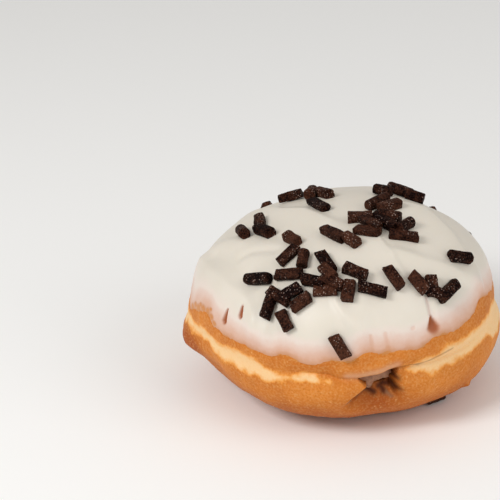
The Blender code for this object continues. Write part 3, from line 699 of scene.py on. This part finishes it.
def paint_crust(crust):
    places = places_of(crust)
    turn, rise, reach = turn_and_rise(places)
    mottle = PALE_MOTTLE * wander(places, PALE_MOTTLE_SIZE)
    top = (around(turn, PALE_TOP) - rise + mottle) / PALE_TOP_SOFTNESS
    foot = (rise - around(turn, PALE_FOOT) + mottle) / PALE_FOOT_SOFTNESS
    depth = crust_radius(turn, rise) - reach
    store(crust, "paleness", ease(top + 0.5) * ease(foot + 0.5) * (1 - mouth(turn, rise)))
    lower = ease((rise - BROWN_START) / (BROWN_END - BROWN_START))
    browning = BROWN_LEAST + BROWN_GAIN * lower + places_among(turn, rise, BROWN_PLACES)
    store(crust, "browning", browning)
    # Painted shade inside the hole, darker the deeper the wall lies
    inside = ease(depth / HOLE_SHADE_DEPTH) * (np.abs(turn_from(turn, MOUTH_TURN)) < HOLE_SHADE_REACH)
    store(crust, "inside", inside * (rise > HOLE_SHADE_LOWEST) * (rise < HOLE_SHADE_HIGHEST))
    # Painted shade at the hole's dark places and in the crack, drawn along lines beside the real cream
    # smears and pale lip
    lines = (
        ("shade", MOUTH_SHADES, SHADE_REACH), ("film", MOUTH_FILMS, FILM_REACH),
        ("crack_shade", (CRACK_SHADE_LINE,), CRACK_SHADE_HALF_WIDTH), ("lip", (LIP_LINE,), LIP_HALF_WIDTH),
    )
    for name, paths, half_width in lines:
        drawn = [
            distance_to_path(np.degrees(turn), np.degrees(rise), path)[0] / half_width for path in paths
        ]
        store(crust, name, hump(np.min(drawn, axis=0)))
    # Painted shade in the dent, darkest where the dent is deepest
    store(crust, "dent_shade", dent(turn, rise) / DENT_DEPTH)


def make_icing():
    turns = column_turns(ICING_COLUMNS, *ICING_CROWD)
    edge = around(turns, EDGE_LINE)
    top_rise = np.full_like(edge, math.pi / 2)
    rows = spread_rows(edge, edge + EDGE_ROWS_REACH, EDGE_ROWS)
    rows += spread_rows(edge + EDGE_ROWS_REACH, top_rise, TOP_ROWS)
    rise = np.array(rows)
    turn = np.broadcast_to(turns, rise.shape)
    bare = marks(turn, rise, BARE_MARKS) + THIN_DEPTH_SHARE * marks(turn, rise, THIN_MARKS)
    from_edge = ease((rise - edge) / ICING_BLEND)
    radius = icing_radius(turn, rise) - ICING_THICKNESS * BARE_SHARE * from_edge * bare
    outer = points_at(turn, rise, radius).reshape(-1, 3)
    inner_rise = np.array(spread_rows(edge, top_rise, INNER_ROWS))
    inner_turn = np.broadcast_to(turns, inner_rise.shape)
    inner_radius = crust_radius(inner_turn, inner_rise) - ICING_SINK
    inner = points_at(inner_turn, inner_rise, inner_radius).reshape(-1, 3)
    up = np.array(math.pi / 2)
    tops = [float(icing_radius(np.array(0.0), up)), float(crust_radius(np.array(0.0), up)) - ICING_SINK]
    ends = [[0.0, 0.0, RING_HEIGHT + top] for top in tops]
    first_inner = len(outer)
    last = first_inner + len(inner)
    outer_edge = np.arange(ICING_COLUMNS)
    faces = grid_faces(len(rows), ICING_COLUMNS, 0)
    faces += fan(range(first_inner - ICING_COLUMNS, first_inner), last)
    faces += [face[::-1] for face in grid_faces(INNER_ROWS, ICING_COLUMNS, first_inner)]
    faces += [face[::-1] for face in fan(range(last - ICING_COLUMNS, last), last + 1)]
    after = (outer_edge + 1) % ICING_COLUMNS
    lip = [first_inner + outer_edge, first_inner + after, after, outer_edge]
    faces += np.stack(lip, axis=-1).tolist()
    icing = piece_from("icing_coat", np.concatenate([outer, inner, ends]), faces)
    paint_icing(icing)
    return icing


def paint_icing(icing):
    places = places_of(icing)
    turn, rise, _ = turn_and_rise(places)
    waves = COVER_WAVE * wander(places, COVER_WAVE_SIZE)
    from_edge = rise - around(turn, EDGE_LINE)
    cover = np.clip((from_edge + waves) / COVER_FULL, 0, 1)
    cover = cover * (1 - places_among(turn, rise, THIN_PLACES))
    bubbles = 0.0
    for at_turn, at_rise, reach in BUBBLES:
        beside = (np.degrees(turn) - at_turn) * BUBBLE_SQUEEZE
        distance = np.hypot(beside, np.degrees(rise) - at_rise) / reach
        bubbles = np.maximum(bubbles, hump(distance**3))
    hole = marks(turn, rise, BARE_MARKS)
    bare = np.clip(hole + THIN_COLOUR_SHARE * marks(turn, rise, THIN_MARKS) + bubbles, 0, 1)
    store(icing, "cover", cover * (1 - bare))
    store(icing, "hole", hole)


def cream_ring(along, phase):
    """One section of the cream, across the way to the hole"""
    core = np.where(along < 0, np.sqrt(np.clip(1 - (along / CORE_BACK) ** 2, 0, 1)), 1.0)
    narrowing = ease(along / NECK_START)
    closing = np.sqrt(np.clip((NECK_END - along) / CREAM_END_ROUND, 0, 1))
    closing = np.clip(closing * (2 - closing), 0, 1)
    half_width = CORE_HALF_WIDTH + (NECK_HALF_WIDTH - CORE_HALF_WIDTH) * narrowing
    half_height = CORE_HALF_HEIGHT + (NECK_HALF_HEIGHT - CORE_HALF_HEIGHT) * narrowing
    slab = ease(1 - (NECK_END - along) / SLAB_LENGTH)
    power = 1 - (1 - SLAB_SQUARENESS) * slab
    across = half_width * np.sign(np.cos(phase)) * np.abs(np.cos(phase)) ** power
    foot = np.interp(across / MM, [place[0] for place in SLAB_FOOT], [place[1] for place in SLAB_FOOT]) * MM
    down = half_height + (foot - half_height) * slab
    rounded = np.sign(np.sin(phase)) * np.abs(np.sin(phase)) ** power
    upward = core * closing * rounded * np.where(rounded < 0, down, half_height)
    across = core * closing * across + NECK_ASIDE * narrowing
    tilt = MOUTH_TILT * narrowing
    sideways = across * np.cos(tilt) - upward * np.sin(tilt)
    height = across * np.sin(tilt) + upward * np.cos(tilt) + RING_HEIGHT + NECK_LIFT * narrowing
    x = along * math.sin(MOUTH_TURN) + sideways * math.cos(MOUTH_TURN)
    y = -along * math.cos(MOUTH_TURN) + sideways * math.sin(MOUTH_TURN)
    return np.stack([x, y, height], axis=-1)


def make_cream():
    stations = CREAM_BACK + (NECK_END - CREAM_BACK) * np.sin(np.linspace(0, math.pi / 2, CREAM_SECTIONS))
    phases = np.linspace(0, 2 * math.pi, CREAM_SIDES, endpoint=False)
    along, phase = np.meshgrid(stations[:-1], phases, indexing="ij")
    rings = cream_ring(along, phase)
    middles = rings.mean(axis=1, keepdims=True)
    outward = rings - middles
    outward /= np.linalg.norm(outward, axis=-1, keepdims=True) + TINY
    flat = rings.reshape(-1, 3)
    lumps = CREAM_LUMP_HEIGHT * wander(flat, CREAM_LUMP_SIZE)
    grit = CREAM_GRIT_HEIGHT * wander(flat, CREAM_GRIT_SIZE)
    near_hole = ease((along.reshape(-1) - NECK_START) / (NECK_END - NECK_START) * 2)
    flat = flat + outward.reshape(-1, 3) * ((lumps + grit) * near_hole)[:, None]
    ends = [middles[0, 0], cream_ring(np.array(NECK_END), np.array(0.0))]
    last = len(flat)
    faces = grid_faces(len(stations) - 1, CREAM_SIDES, 0)
    faces += [face[::-1] for face in fan(range(CREAM_SIDES), last)]
    faces += fan(range(last - CREAM_SIDES, last), last + 1)
    return piece_from("cream", np.concatenate([flat, ends]), faces)


def surface_under(x, y):
    """The turn and rise at which the icing, raised by a stick's radius, is over a place"""
    turn = math.atan2(x, -y)
    reach = math.hypot(x, y)
    low = 0.0
    high = math.pi / 2
    for _ in range(HALVINGS):
        middle = (low + high) / 2
        radius = float(icing_radius(np.array(turn), np.array(middle))) + STICK_RADIUS
        if radius * math.cos(middle) > reach:
            low = middle
        else:
            high = middle
    return turn, (low + high) / 2


def slope_at(turn, rise, surface):
    """A point of a surface and the direction out of it there"""
    rises = np.array([rise, rise - SLOPE_STEP, rise])
    turns = np.array([turn, turn, turn + SLOPE_STEP])
    at, below, beside = points_at(turns, rises, surface(turns, rises))
    outward = Vector(np.cross(beside - at, at - below)).normalized()
    if outward.z < 0:
        outward.negate()
    return Vector(at), outward


def back_sprinkles():
    """Places on the side that faces away, spread evenly by a seeded rule"""
    draw = random.Random(BACK_SEED)
    found = []
    middles = []
    for _ in range(BACK_TRIES):
        turn = math.pi + draw.uniform(-BACK_TURN_LIMIT, BACK_TURN_LIMIT)
        rise = draw.uniform(BACK_LOWEST, BACK_HIGHEST)
        heading = draw.uniform(0, 180)
        length = draw.uniform(*BACK_LENGTHS)
        kind = SPLIT if draw.random() < BACK_SPLIT_SHARE else ROUND
        middle, outward = slope_at(turn, rise, plain_radius)
        spaced = all((middle - other).length > BACK_SPACING for other in middles)
        if spaced and outward.dot(Vector(AWAY)) > AWAY_SHARE and len(found) < BACK_COUNT:
            radius = float(plain_radius(turn, rise)) + STICK_RADIUS
            reach = radius * math.cos(rise) / MM
            middles.append(middle)
            found.append((reach * math.sin(turn), -reach * math.cos(turn), heading, length, kind, 0))
    return found


def stick_pose(row):
    """A sprinkle's middle and the turns that lay it on the icing"""
    x, y, heading, _, _, lift = row
    foot, outward = slope_at(*surface_under(x * MM, y * MM), icing_radius)
    plan = Vector((math.cos(math.radians(heading)), math.sin(math.radians(heading)), 0.0))
    plan.z = -(outward.x * plan.x + outward.y * plan.y) / outward.z
    along = plan.normalized()
    side = outward.cross(along)
    middle = foot + outward * (STICK_RADIUS - STICK_SINK + lift * MM)
    return middle, Matrix((along, side, outward)).transposed().to_euler()


def stick_form(kind, seed):
    """One stick of unit radius and length along X, with its ends cut aslant"""
    draw = random.Random(seed)
    slants = [draw.uniform(-END_SLANT, END_SLANT) for _ in range(4)]
    wanders = [draw.uniform(-STICK_WANDER, STICK_WANDER) for _ in range(4)]
    angles = np.linspace(0, 2 * math.pi, STICK_SIDES, endpoint=False)
    stations = np.array(STICK_STATIONS)
    station, angle = np.meshgrid(stations, angles, indexing="ij")
    squareness, width, height = SECTIONS[seed % len(SECTIONS)]
    power = np.abs(np.cos(angle)) ** squareness + np.abs(np.sin(angle)) ** squareness
    grow = power ** (-1 / squareness) * (1 - STICK_RIM * np.abs(station) ** STICK_RIM_SHARPNESS)
    lumpy = 1 + wanders[0] * np.sin(2 * angle + 3 * wanders[1])
    lumpy = lumpy + wanders[2] * np.sin(STICK_WAVE * station + 1)
    side = width * grow * lumpy * np.cos(angle)
    up = height * grow * lumpy * np.sin(angle)
    if kind == SPLIT:
        up = np.minimum(up, SPLIT_TOP + wanders[3] * station)
    share = STICK_RADIUS / STICK_LENGTH
    near = ease(np.abs(station)) * share
    slant_side = np.where(station > 0, slants[0], slants[1])
    slant_up = np.where(station > 0, slants[2], slants[3])
    along = station / 2 + near * (slant_side * side + 0.5 * slant_up * up)
    places = np.stack([along, side, up], axis=-1).reshape(-1, 3)
    last = len(places)
    ring = STICK_SIDES
    ends = [places[:ring].mean(axis=0), places[-ring:].mean(axis=0)]
    faces = grid_faces(len(stations), ring, 0)
    faces += [face[::-1] for face in fan(range(ring), last)]
    faces += fan(range(last - ring, last), last + 1)
    return piece_from(f"{kind}_form_{seed}", np.concatenate([places, ends]), faces)


def add(tree, kind, inputs=None, **settings):
    """Adds one node: settings are its properties, inputs are values or other nodes' outputs"""
    made = tree.nodes.new(kind)
    for name, value in settings.items():
        setattr(made, name, value)
    for socket, value in (inputs or {}).items():
        if isinstance(value, bpy.types.NodeSocket):
            tree.links.new(value, made.inputs[socket])
        else:
            made.inputs[socket].default_value = value
    return made


def linear(code):
    """A linear colour from an sRGB hex value"""
    shares = [int(code[place:place + 2], 16) / 255 for place in (0, 2, 4)]
    low = 0.04045
    made = [share / 12.92 if share <= low else ((share + 0.055) / 1.055) ** 2.4 for share in shares]
    return (*made, 1.0)


# Sockets of the Mix node that are told apart by number alone
MIX_A = 6
MIX_B = 7
MIX_RESULT = 2
# Sockets of the Map Range node: the range taken, then the range given
SPAN = ("From Min", "From Max", "To Min", "To Max")


def new_look(name, roughness, **sockets):
    look = bpy.data.materials.new(name)
    look.use_nodes = True
    shader = look.node_tree.nodes["Principled BSDF"]
    shader.inputs["Roughness"].default_value = roughness
    for socket, value in sockets.items():
        shader.inputs[socket.replace("_", " ")].default_value = value
    return look


def paint_by(tree, colour, value, code, low=0.0, high=1.0, first=0.0, last=1.0, smooth=False):
    """Lays a colour over another. Its share is first where the value is low, last where high."""
    share = add(
        tree, "ShaderNodeMapRange", {"Value": value, **dict(zip(SPAN, (low, high, first, last)))},
        interpolation_type="SMOOTHSTEP" if smooth else "LINEAR",
    ).outputs["Result"]
    return add(
        tree, "ShaderNodeMix", {"Factor": share, MIX_A: colour, MIX_B: linear(code)}, data_type="RGBA",
    ).outputs[MIX_RESULT]


def finish_look(look, colour, height, strength, depth):
    """Gives a material its colour and the fine relief of its skin"""
    tree = look.node_tree
    shader = tree.nodes["Principled BSDF"]
    relief = add(tree, "ShaderNodeBump", {"Height": height, "Strength": strength, "Distance": depth})
    tree.links.new(colour, shader.inputs["Base Color"])
    tree.links.new(relief.outputs["Normal"], shader.inputs["Normal"])
    return look


def icing_look():
    """Sugar icing: poured warm and set. Milky and satin, and thin enough at its edge for the
    crust to show through it pink and then brown."""
    look = new_look(
        "set_sugar_icing", 0.42, IOR=1.47, Subsurface_Weight=0.1, Subsurface_Scale=0.001,
        Subsurface_Radius=(1.0, 0.75, 0.55),
    )
    tree = look.node_tree
    place = add(tree, "ShaderNodeTexCoord").outputs["Object"]
    cover, hole = (
        add(tree, "ShaderNodeAttribute", attribute_name=name).outputs["Fac"] for name in ("cover", "hole")
    )
    # Sizes in mm of the ragged edge, the clouds in the white and the ripples of its skin
    grain, cloud, ripple = (
        add(
            tree, "ShaderNodeTexNoise", {"Vector": place, "Scale": 1 / (size * MM), "Detail": detail},
        ).outputs["Fac"]
        for size, detail in ((0.7, 4.0), (9.0, 2.0), (3.5, 3.0))
    )
    centred = add(tree, "ShaderNodeMath", {0: grain, 1: -0.5}, operation="ADD").outputs[0]
    ragged = add(
        tree, "ShaderNodeMath", {0: centred, 1: 0.09, 2: cover}, operation="MULTIPLY_ADD", use_clamp=True,
    ).outputs[0]
    colour = paint_by(tree, linear("E3DBCF"), cloud, "DCD4C5")
    # From thick to thin: the cover over which each colour gives way to the one before it
    stages = (
        (0.70, 1.00, "E4D6CB"), (0.45, 0.75, "DFC5B7"), (0.20, 0.50, "D7AE98"), (0.04, 0.24, "CB9470"),
        (0.00, 0.05, "C98340"),
    )
    for low, high, code in stages:
        colour = paint_by(tree, colour, ragged, code, low, high, 1.0, 0.0, smooth=True)
    colour = paint_by(tree, colour, hole, "9A4A10")
    return finish_look(look, colour, ripple, 0.12, 0.6 * MM)


def crust_look():
    """Fried yeast dough: brown where the fat held it, pale in the ring that floated clear of
    it. Fine-grained with tiny blisters, and slightly oily."""
    look = new_look(
        "fried_dough_crust", 0.6, IOR=1.45, Specular_IOR_Level=0.2, Subsurface_Weight=0.1,
        Subsurface_Scale=0.001, Subsurface_Radius=(1.0, 0.5, 0.25),
    )
    tree = look.node_tree
    place = add(tree, "ShaderNodeTexCoord").outputs["Object"]
    painted = {
        name: add(tree, "ShaderNodeAttribute", attribute_name=name).outputs["Fac"]
        for name in ("paleness", "browning", "inside", "dent_shade", "shade", "film", "crack_shade", "lip")
    }
    # Blotches and grain, as size in mm and detail. The crust's real pores are about 0.3 mm, a
    # pixel wide, so the grain is drawn coarser to show.
    blotch, grain = (
        add(
            tree, "ShaderNodeTexNoise", {"Vector": place, "Scale": 1 / (size * MM), "Detail": detail},
        ).outputs["Fac"]
        for size, detail in ((7.0, 3.0), (0.6, 2.0))
    )
    cells = add(tree, "ShaderNodeTexVoronoi", {"Vector": place, "Scale": 1 / (1.5 * MM)}).outputs
    blotchy, grainy = (
        add(tree, "ShaderNodeMath", {0: pattern, 1: -0.5}, operation="ADD").outputs[0]
        for pattern in (blotch, grain)
    )
    fried = painted["browning"]
    for pattern, gain in ((blotchy, 0.7), (grainy, 0.9)):
        fried = add(
            tree, "ShaderNodeMath", {0: pattern, 1: gain, 2: fried}, operation="MULTIPLY_ADD",
            use_clamp=True,
        ).outputs[0]
    colour = paint_by(tree, linear("DC8836"), fried, "9C420C")
    for low, high, most, code in ((0.48, 0.28, 0.45, "A8560E"), (0.46, 0.78, 0.5, "EDB56C")):
        colour = paint_by(tree, colour, grain, code, low, high, last=most)
    pale = add(
        tree, "ShaderNodeMath", {0: grainy, 1: 0.45, 2: painted["paleness"]}, operation="MULTIPLY_ADD",
        use_clamp=True,
    ).outputs[0]
    for low, high, code in ((0.15, 0.60, "E89C48"), (0.42, 0.86, "EEBA7C"), (0.74, 1.10, "F1CB98")):
        colour = paint_by(tree, colour, pale, code, low, high, smooth=True)
    # Blisters: round pale spots in a few of the cells
    spot = add(
        tree, "ShaderNodeMapRange",
        {"Value": cells["Distance"], **dict(zip(SPAN, (0.0, 0.26, 0.5, 0.0)))},
        interpolation_type="SMOOTHSTEP",
    ).outputs["Result"]
    picked = add(
        tree, "ShaderNodeMapRange", {"Value": cells["Color"], **dict(zip(SPAN, (0.5, 0.62, 0.0, 1.0)))},
    ).outputs["Result"]
    blister = add(tree, "ShaderNodeMath", {0: spot, 1: picked}, operation="MULTIPLY").outputs[0]
    colour = paint_by(tree, colour, blister, "EDBC7A")
    # Painted shade in the dent, inside the hole, at the hole's dark places and in the crack; the pale lip
    # and the cream smears are their own colour
    stages = (
        ("dent_shade", 0.85, "92440E"), ("lip", 0.75, "DBA680"), ("inside", 0.9, "6E3010"),
        ("shade", 0.92, "3E1402"), ("film", 0.6, "80654E"), ("crack_shade", 0.6, "8A5528"),
    )
    for name, most, code in stages:
        colour = paint_by(tree, colour, painted[name], code, last=most)
    height = add(
        tree, "ShaderNodeMath", {0: cells["Distance"], 1: -0.5, 2: grain}, operation="MULTIPLY_ADD",
    ).outputs[0]
    return finish_look(look, colour, height, 0.35, 0.25 * MM)


def cream_look():
    """Chocolate cream: soft, piped in cold. Smooth and dull, with torn ridges."""
    look = new_look(
        "chocolate_cream", 0.5, IOR=1.46, Subsurface_Weight=0.1, Subsurface_Scale=0.001,
    )
    tree = look.node_tree
    place = add(tree, "ShaderNodeTexCoord").outputs["Object"]
    smear = add(
        tree, "ShaderNodeTexNoise", {"Vector": place, "Scale": 1 / (1.3 * MM), "Detail": 4.0},
    ).outputs["Fac"]
    colour = paint_by(tree, linear("552C1A"), smear, "BE8A66")
    return finish_look(look, colour, smear, 0.8, 0.5 * MM)


def chocolate_look():
    """Dark chocolate: extruded as strands and broken. Nearly black, with a dull skin full of
    pits, and tiny glints painted on it as pale dots."""
    look = new_look("dark_chocolate", 0.6, IOR=1.48, Specular_IOR_Level=0.05)
    tree = look.node_tree
    place = add(tree, "ShaderNodeTexCoord").outputs["Object"]
    # Rubbed places, pits and patches of painted glints, as size in mm and detail. The real pits are about
    # 0.1 mm, too fine to show, so they and the painted glints are drawn coarser.
    bloom, pits, glint_cloud = (
        add(
            tree, "ShaderNodeTexNoise", {"Vector": place, "Scale": 1 / (size * MM), "Detail": detail},
        ).outputs["Fac"]
        for size, detail in ((2.4, 2.0), (0.42, 2.0), (4.0, 0.0))
    )
    cells = add(
        tree, "ShaderNodeTexVoronoi", {"Vector": place, "Scale": 1 / (0.62 * MM)},
    ).outputs["Distance"]
    spans = (
        (bloom, True, 0.36, 0.66, 0.0, 1.0), (pits, False, 0.35, 0.65, -0.36, 0.14),
        (cells, True, 0.12, 0.30, 1.0, 0.0), (glint_cloud, True, 0.44, 0.62, 0.04, 0.7),
    )
    rubbed, grainy, glint_dot, glint_patches = (
        add(
            tree, "ShaderNodeMapRange", {"Value": value, **dict(zip(SPAN, span))}, clamp=kept_inside,
        ).outputs["Result"]
        for value, kept_inside, *span in spans
    )
    share = add(
        tree, "ShaderNodeMath", {0: rubbed, 1: 0.3, 2: grainy}, operation="MULTIPLY_ADD",
    ).outputs[0]
    tone = add(tree, "ShaderNodeAttribute", attribute_name="tone").outputs["Fac"]
    share = add(tree, "ShaderNodeMath", {0: share, 1: tone}, operation="ADD", use_clamp=True).outputs[0]
    colour = paint_by(tree, linear("0A0000"), share, "5E3828")
    # Painted highlights: pale dots in patches, standing in for glints of light on the pits
    painted_glint = add(tree, "ShaderNodeMath", {0: glint_dot, 1: glint_patches}, operation="MULTIPLY").outputs[0]
    colour = paint_by(tree, colour, painted_glint, "B39C90")
    return finish_look(look, colour, pits, 0.8, 0.35 * MM)


def scatter_tree(name, forms, look):
    """Lays sticks on points that carry their turns, length and form number"""
    tree = bpy.data.node_groups.new(name, "GeometryNodeTree")
    tree.is_modifier = True
    sockets = tree.interface
    sockets.new_socket("Geometry", in_out="INPUT", socket_type="NodeSocketGeometry")
    for label in ("Stick Radius", "Chip Size", "Chip Depth"):
        sockets.new_socket(label, in_out="INPUT", socket_type="NodeSocketFloat")
    sockets.new_socket("Geometry", in_out="OUTPUT", socket_type="NodeSocketGeometry")
    given = add(tree, "NodeGroupInput").outputs
    turns = add(tree, "GeometryNodeInputNamedAttribute", {"Name": "turns"}, data_type="FLOAT_VECTOR")
    length = add(tree, "GeometryNodeInputNamedAttribute", {"Name": "length"}, data_type="FLOAT")
    form = add(tree, "GeometryNodeInputNamedAttribute", {"Name": "form"}, data_type="INT")
    turned = add(tree, "FunctionNodeEulerToRotation", {"Euler": turns.outputs["Attribute"]})
    size = add(
        tree, "ShaderNodeCombineXYZ",
        {"X": length.outputs["Attribute"], "Y": given["Stick Radius"], "Z": given["Stick Radius"]},
    )
    sticks = add(
        tree, "GeometryNodeCollectionInfo",
        {"Collection": forms, "Separate Children": True, "Reset Children": True},
    )
    laid = add(
        tree, "GeometryNodeInstanceOnPoints",
        {
            "Points": given["Geometry"], "Instance": sticks.outputs["Instances"], "Pick Instance": True,
            "Instance Index": form.outputs["Attribute"], "Rotation": turned.outputs["Rotation"],
            "Scale": size.outputs["Vector"],
        },
    )
    real = add(tree, "GeometryNodeRealizeInstances", {"Geometry": laid.outputs["Instances"]})
    fine = add(tree, "ShaderNodeMath", {0: 1.0, 1: given["Chip Size"]}, operation="DIVIDE")
    chips = add(tree, "ShaderNodeTexNoise", {"Scale": fine.outputs[0], "Detail": 1.0})
    centred = add(tree, "ShaderNodeMath", {0: chips.outputs["Fac"], 1: -0.5}, operation="ADD")
    deep = add(tree, "ShaderNodeMath", {0: centred.outputs[0], 1: given["Chip Depth"]}, operation="MULTIPLY")
    normal = add(tree, "GeometryNodeInputNormal")
    push = add(
        tree, "ShaderNodeVectorMath", {0: normal.outputs["Normal"], "Scale": deep.outputs[0]},
        operation="SCALE",
    )
    chipped = add(
        tree, "GeometryNodeSetPosition",
        {"Geometry": real.outputs["Geometry"], "Offset": push.outputs["Vector"]},
    )
    coated = add(
        tree, "GeometryNodeSetMaterial", {"Geometry": chipped.outputs["Geometry"], "Material": look},
    )
    add(tree, "NodeGroupOutput", {"Geometry": coated.outputs["Geometry"]})
    return tree


def make_sprinkles(kind, rows, look):
    """All sprinkles of one kind as one plain mesh"""
    forms = bpy.data.collections.new(f"{kind}_forms")
    bpy.context.scene.collection.children.link(forms)
    for seed in range(STICK_FORMS):
        stick = stick_form(kind, seed)
        bpy.context.scene.collection.objects.unlink(stick)
        forms.objects.link(stick)
    chosen = [row for row in rows if row[4] == kind]
    poses = [stick_pose(row) for row in chosen]
    lengths = [row[3] * MM for row in chosen]
    if kind == ROUND:
        poses.append((Vector(STRAY_MIDDLE) * MM, (0.0, 0.0, math.radians(STRAY_HEADING))))
        lengths.append(STRAY_LENGTH * MM)
    sprinkles = piece_from(f"{kind}_sprinkles", np.array([list(middle) for middle, _ in poses]), [])
    points = sprinkles.data.attributes
    turns = [angle for _, pose in poses for angle in pose]
    points.new("turns", "FLOAT_VECTOR", "POINT").data.foreach_set("vector", turns)
    points.new("length", "FLOAT", "POINT").data.foreach_set("value", lengths)
    numbers = [number % STICK_FORMS for number in range(len(poses))]
    points.new("form", "INT", "POINT").data.foreach_set("value", numbers)
    draw = random.Random(TONE_SEED)
    tones = [draw.uniform(*TONES) for _ in poses]
    points.new("tone", "FLOAT", "POINT").data.foreach_set("value", tones)
    tree = scatter_tree(f"lay_{kind}_sprinkles", forms, look)
    change = sprinkles.modifiers.new("lay", "NODES")
    change.node_group = tree
    inputs = {item.name: item.identifier for item in tree.interface.items_tree if item.in_out == "INPUT"}
    change[inputs["Stick Radius"]] = STICK_RADIUS
    change[inputs["Chip Size"]] = CHIP_SIZE
    change[inputs["Chip Depth"]] = CHIP_DEPTH
    graph = bpy.context.evaluated_depsgraph_get()
    laid = bpy.data.meshes.new_from_object(sprinkles.evaluated_get(graph))
    sprinkles.modifiers.remove(change)
    sprinkles.data = laid
    laid.shade_smooth()
    laid.set_sharp_from_angle(angle=SHARP_ANGLE)
    for stick in list(forms.objects):
        bpy.data.objects.remove(stick)
    bpy.data.collections.remove(forms)
    return sprinkles


def make_camera():
    """The camera looks past the ring's middle, so that it falls on its pixel with no shift"""
    target = Vector((0, 0, RING_HEIGHT))
    back = Vector((0, -math.cos(CAMERA_ELEVATION), math.sin(CAMERA_ELEVATION)))
    forward = -back
    level = forward.cross(Vector((0, 0, 1))).normalized()
    upright = level.cross(forward)
    right = level * math.cos(CAMERA_ROLL) - upright * math.sin(CAMERA_ROLL)
    up = level * math.sin(CAMERA_ROLL) + upright * math.cos(CAMERA_ROLL)
    focal = PIXELS_PER_METRE * CAMERA_DISTANCE
    across, down = (place - IMAGE_SIZE / 2 for place in RING_MIDDLE_PIXEL)
    aim = Vector((across / focal, -down / focal, 1)).normalized()
    aside = Vector((0, 0, 1)).rotation_difference(aim).to_matrix()
    axes = aside @ Matrix((right, up, forward))
    pose = Matrix((axes[0], axes[1], -Vector(axes[2]))).transposed().to_4x4()
    pose.translation = target + back * CAMERA_DISTANCE
    data = bpy.data.cameras.new("camera")
    data.sensor_width = SENSOR_WIDTH
    data.lens = focal * SENSOR_WIDTH / IMAGE_SIZE
    data.clip_start = 10 * MM
    camera = bpy.data.objects.new("camera", data)
    camera.matrix_world = pose
    bpy.context.scene.collection.objects.link(camera)
    bpy.context.scene.camera = camera


def make_softbox(name, place, size, power):
    data = bpy.data.lights.new(name, "AREA")
    data.energy = power
    data.size = size
    lamp = bpy.data.objects.new(name, data)
    lamp.location = place
    lamp.rotation_euler = (Vector((0, 0, RING_HEIGHT)) - Vector(place)).to_track_quat("-Z", "Y").to_euler()
    bpy.context.scene.collection.objects.link(lamp)


def make_studio():
    """A plain pale floor and room, and soft light from the upper left"""
    corners = np.array([[-1, -1, 0], [1, -1, 0], [1, 1, 0], [-1, 1, 0]]) * FLOOR_HALF
    floor = piece_from("floor", corners, [(0, 1, 2, 3)])
    floor.data.materials.append(new_look("pale_paper", 0.9, Base_Color=linear("FCFCFB")))
    for lamp in SOFTBOXES:
        make_softbox(*lamp)
    world = bpy.data.worlds.new("pale_room")
    world.use_nodes = True
    room = world.node_tree.nodes["Background"]
    room.inputs["Color"].default_value = linear("FFFDFA")
    room.inputs["Strength"].default_value = ROOM_LIGHT
    bpy.context.scene.world = world
    bpy.context.scene.view_settings.view_transform = "Standard"


def dress(piece, node, look):
    """Puts a piece in a CAD node's place, on the one body"""
    if look.name not in piece.data.materials:
        piece.data.materials.append(look)
    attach(piece, BODY)
    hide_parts(node)


ROWS = (
    *LEFT_SPRINKLES, *FRONT_SPRINKLES, *RIGHT_SPRINKLES, *TOP_SPRINKLES, *FAR_SPRINKLES,
    *back_sprinkles(),
)
chocolate = chocolate_look()
dress(make_crust(), "dough", crust_look())
dress(make_cream(), "filling", cream_look())
dress(make_icing(), "icing", icing_look())
dress(make_sprinkles(ROUND, ROWS, chocolate), "icing", chocolate)
dress(make_sprinkles(SPLIT, ROWS, chocolate), "icing", chocolate)
make_camera()
make_studio()
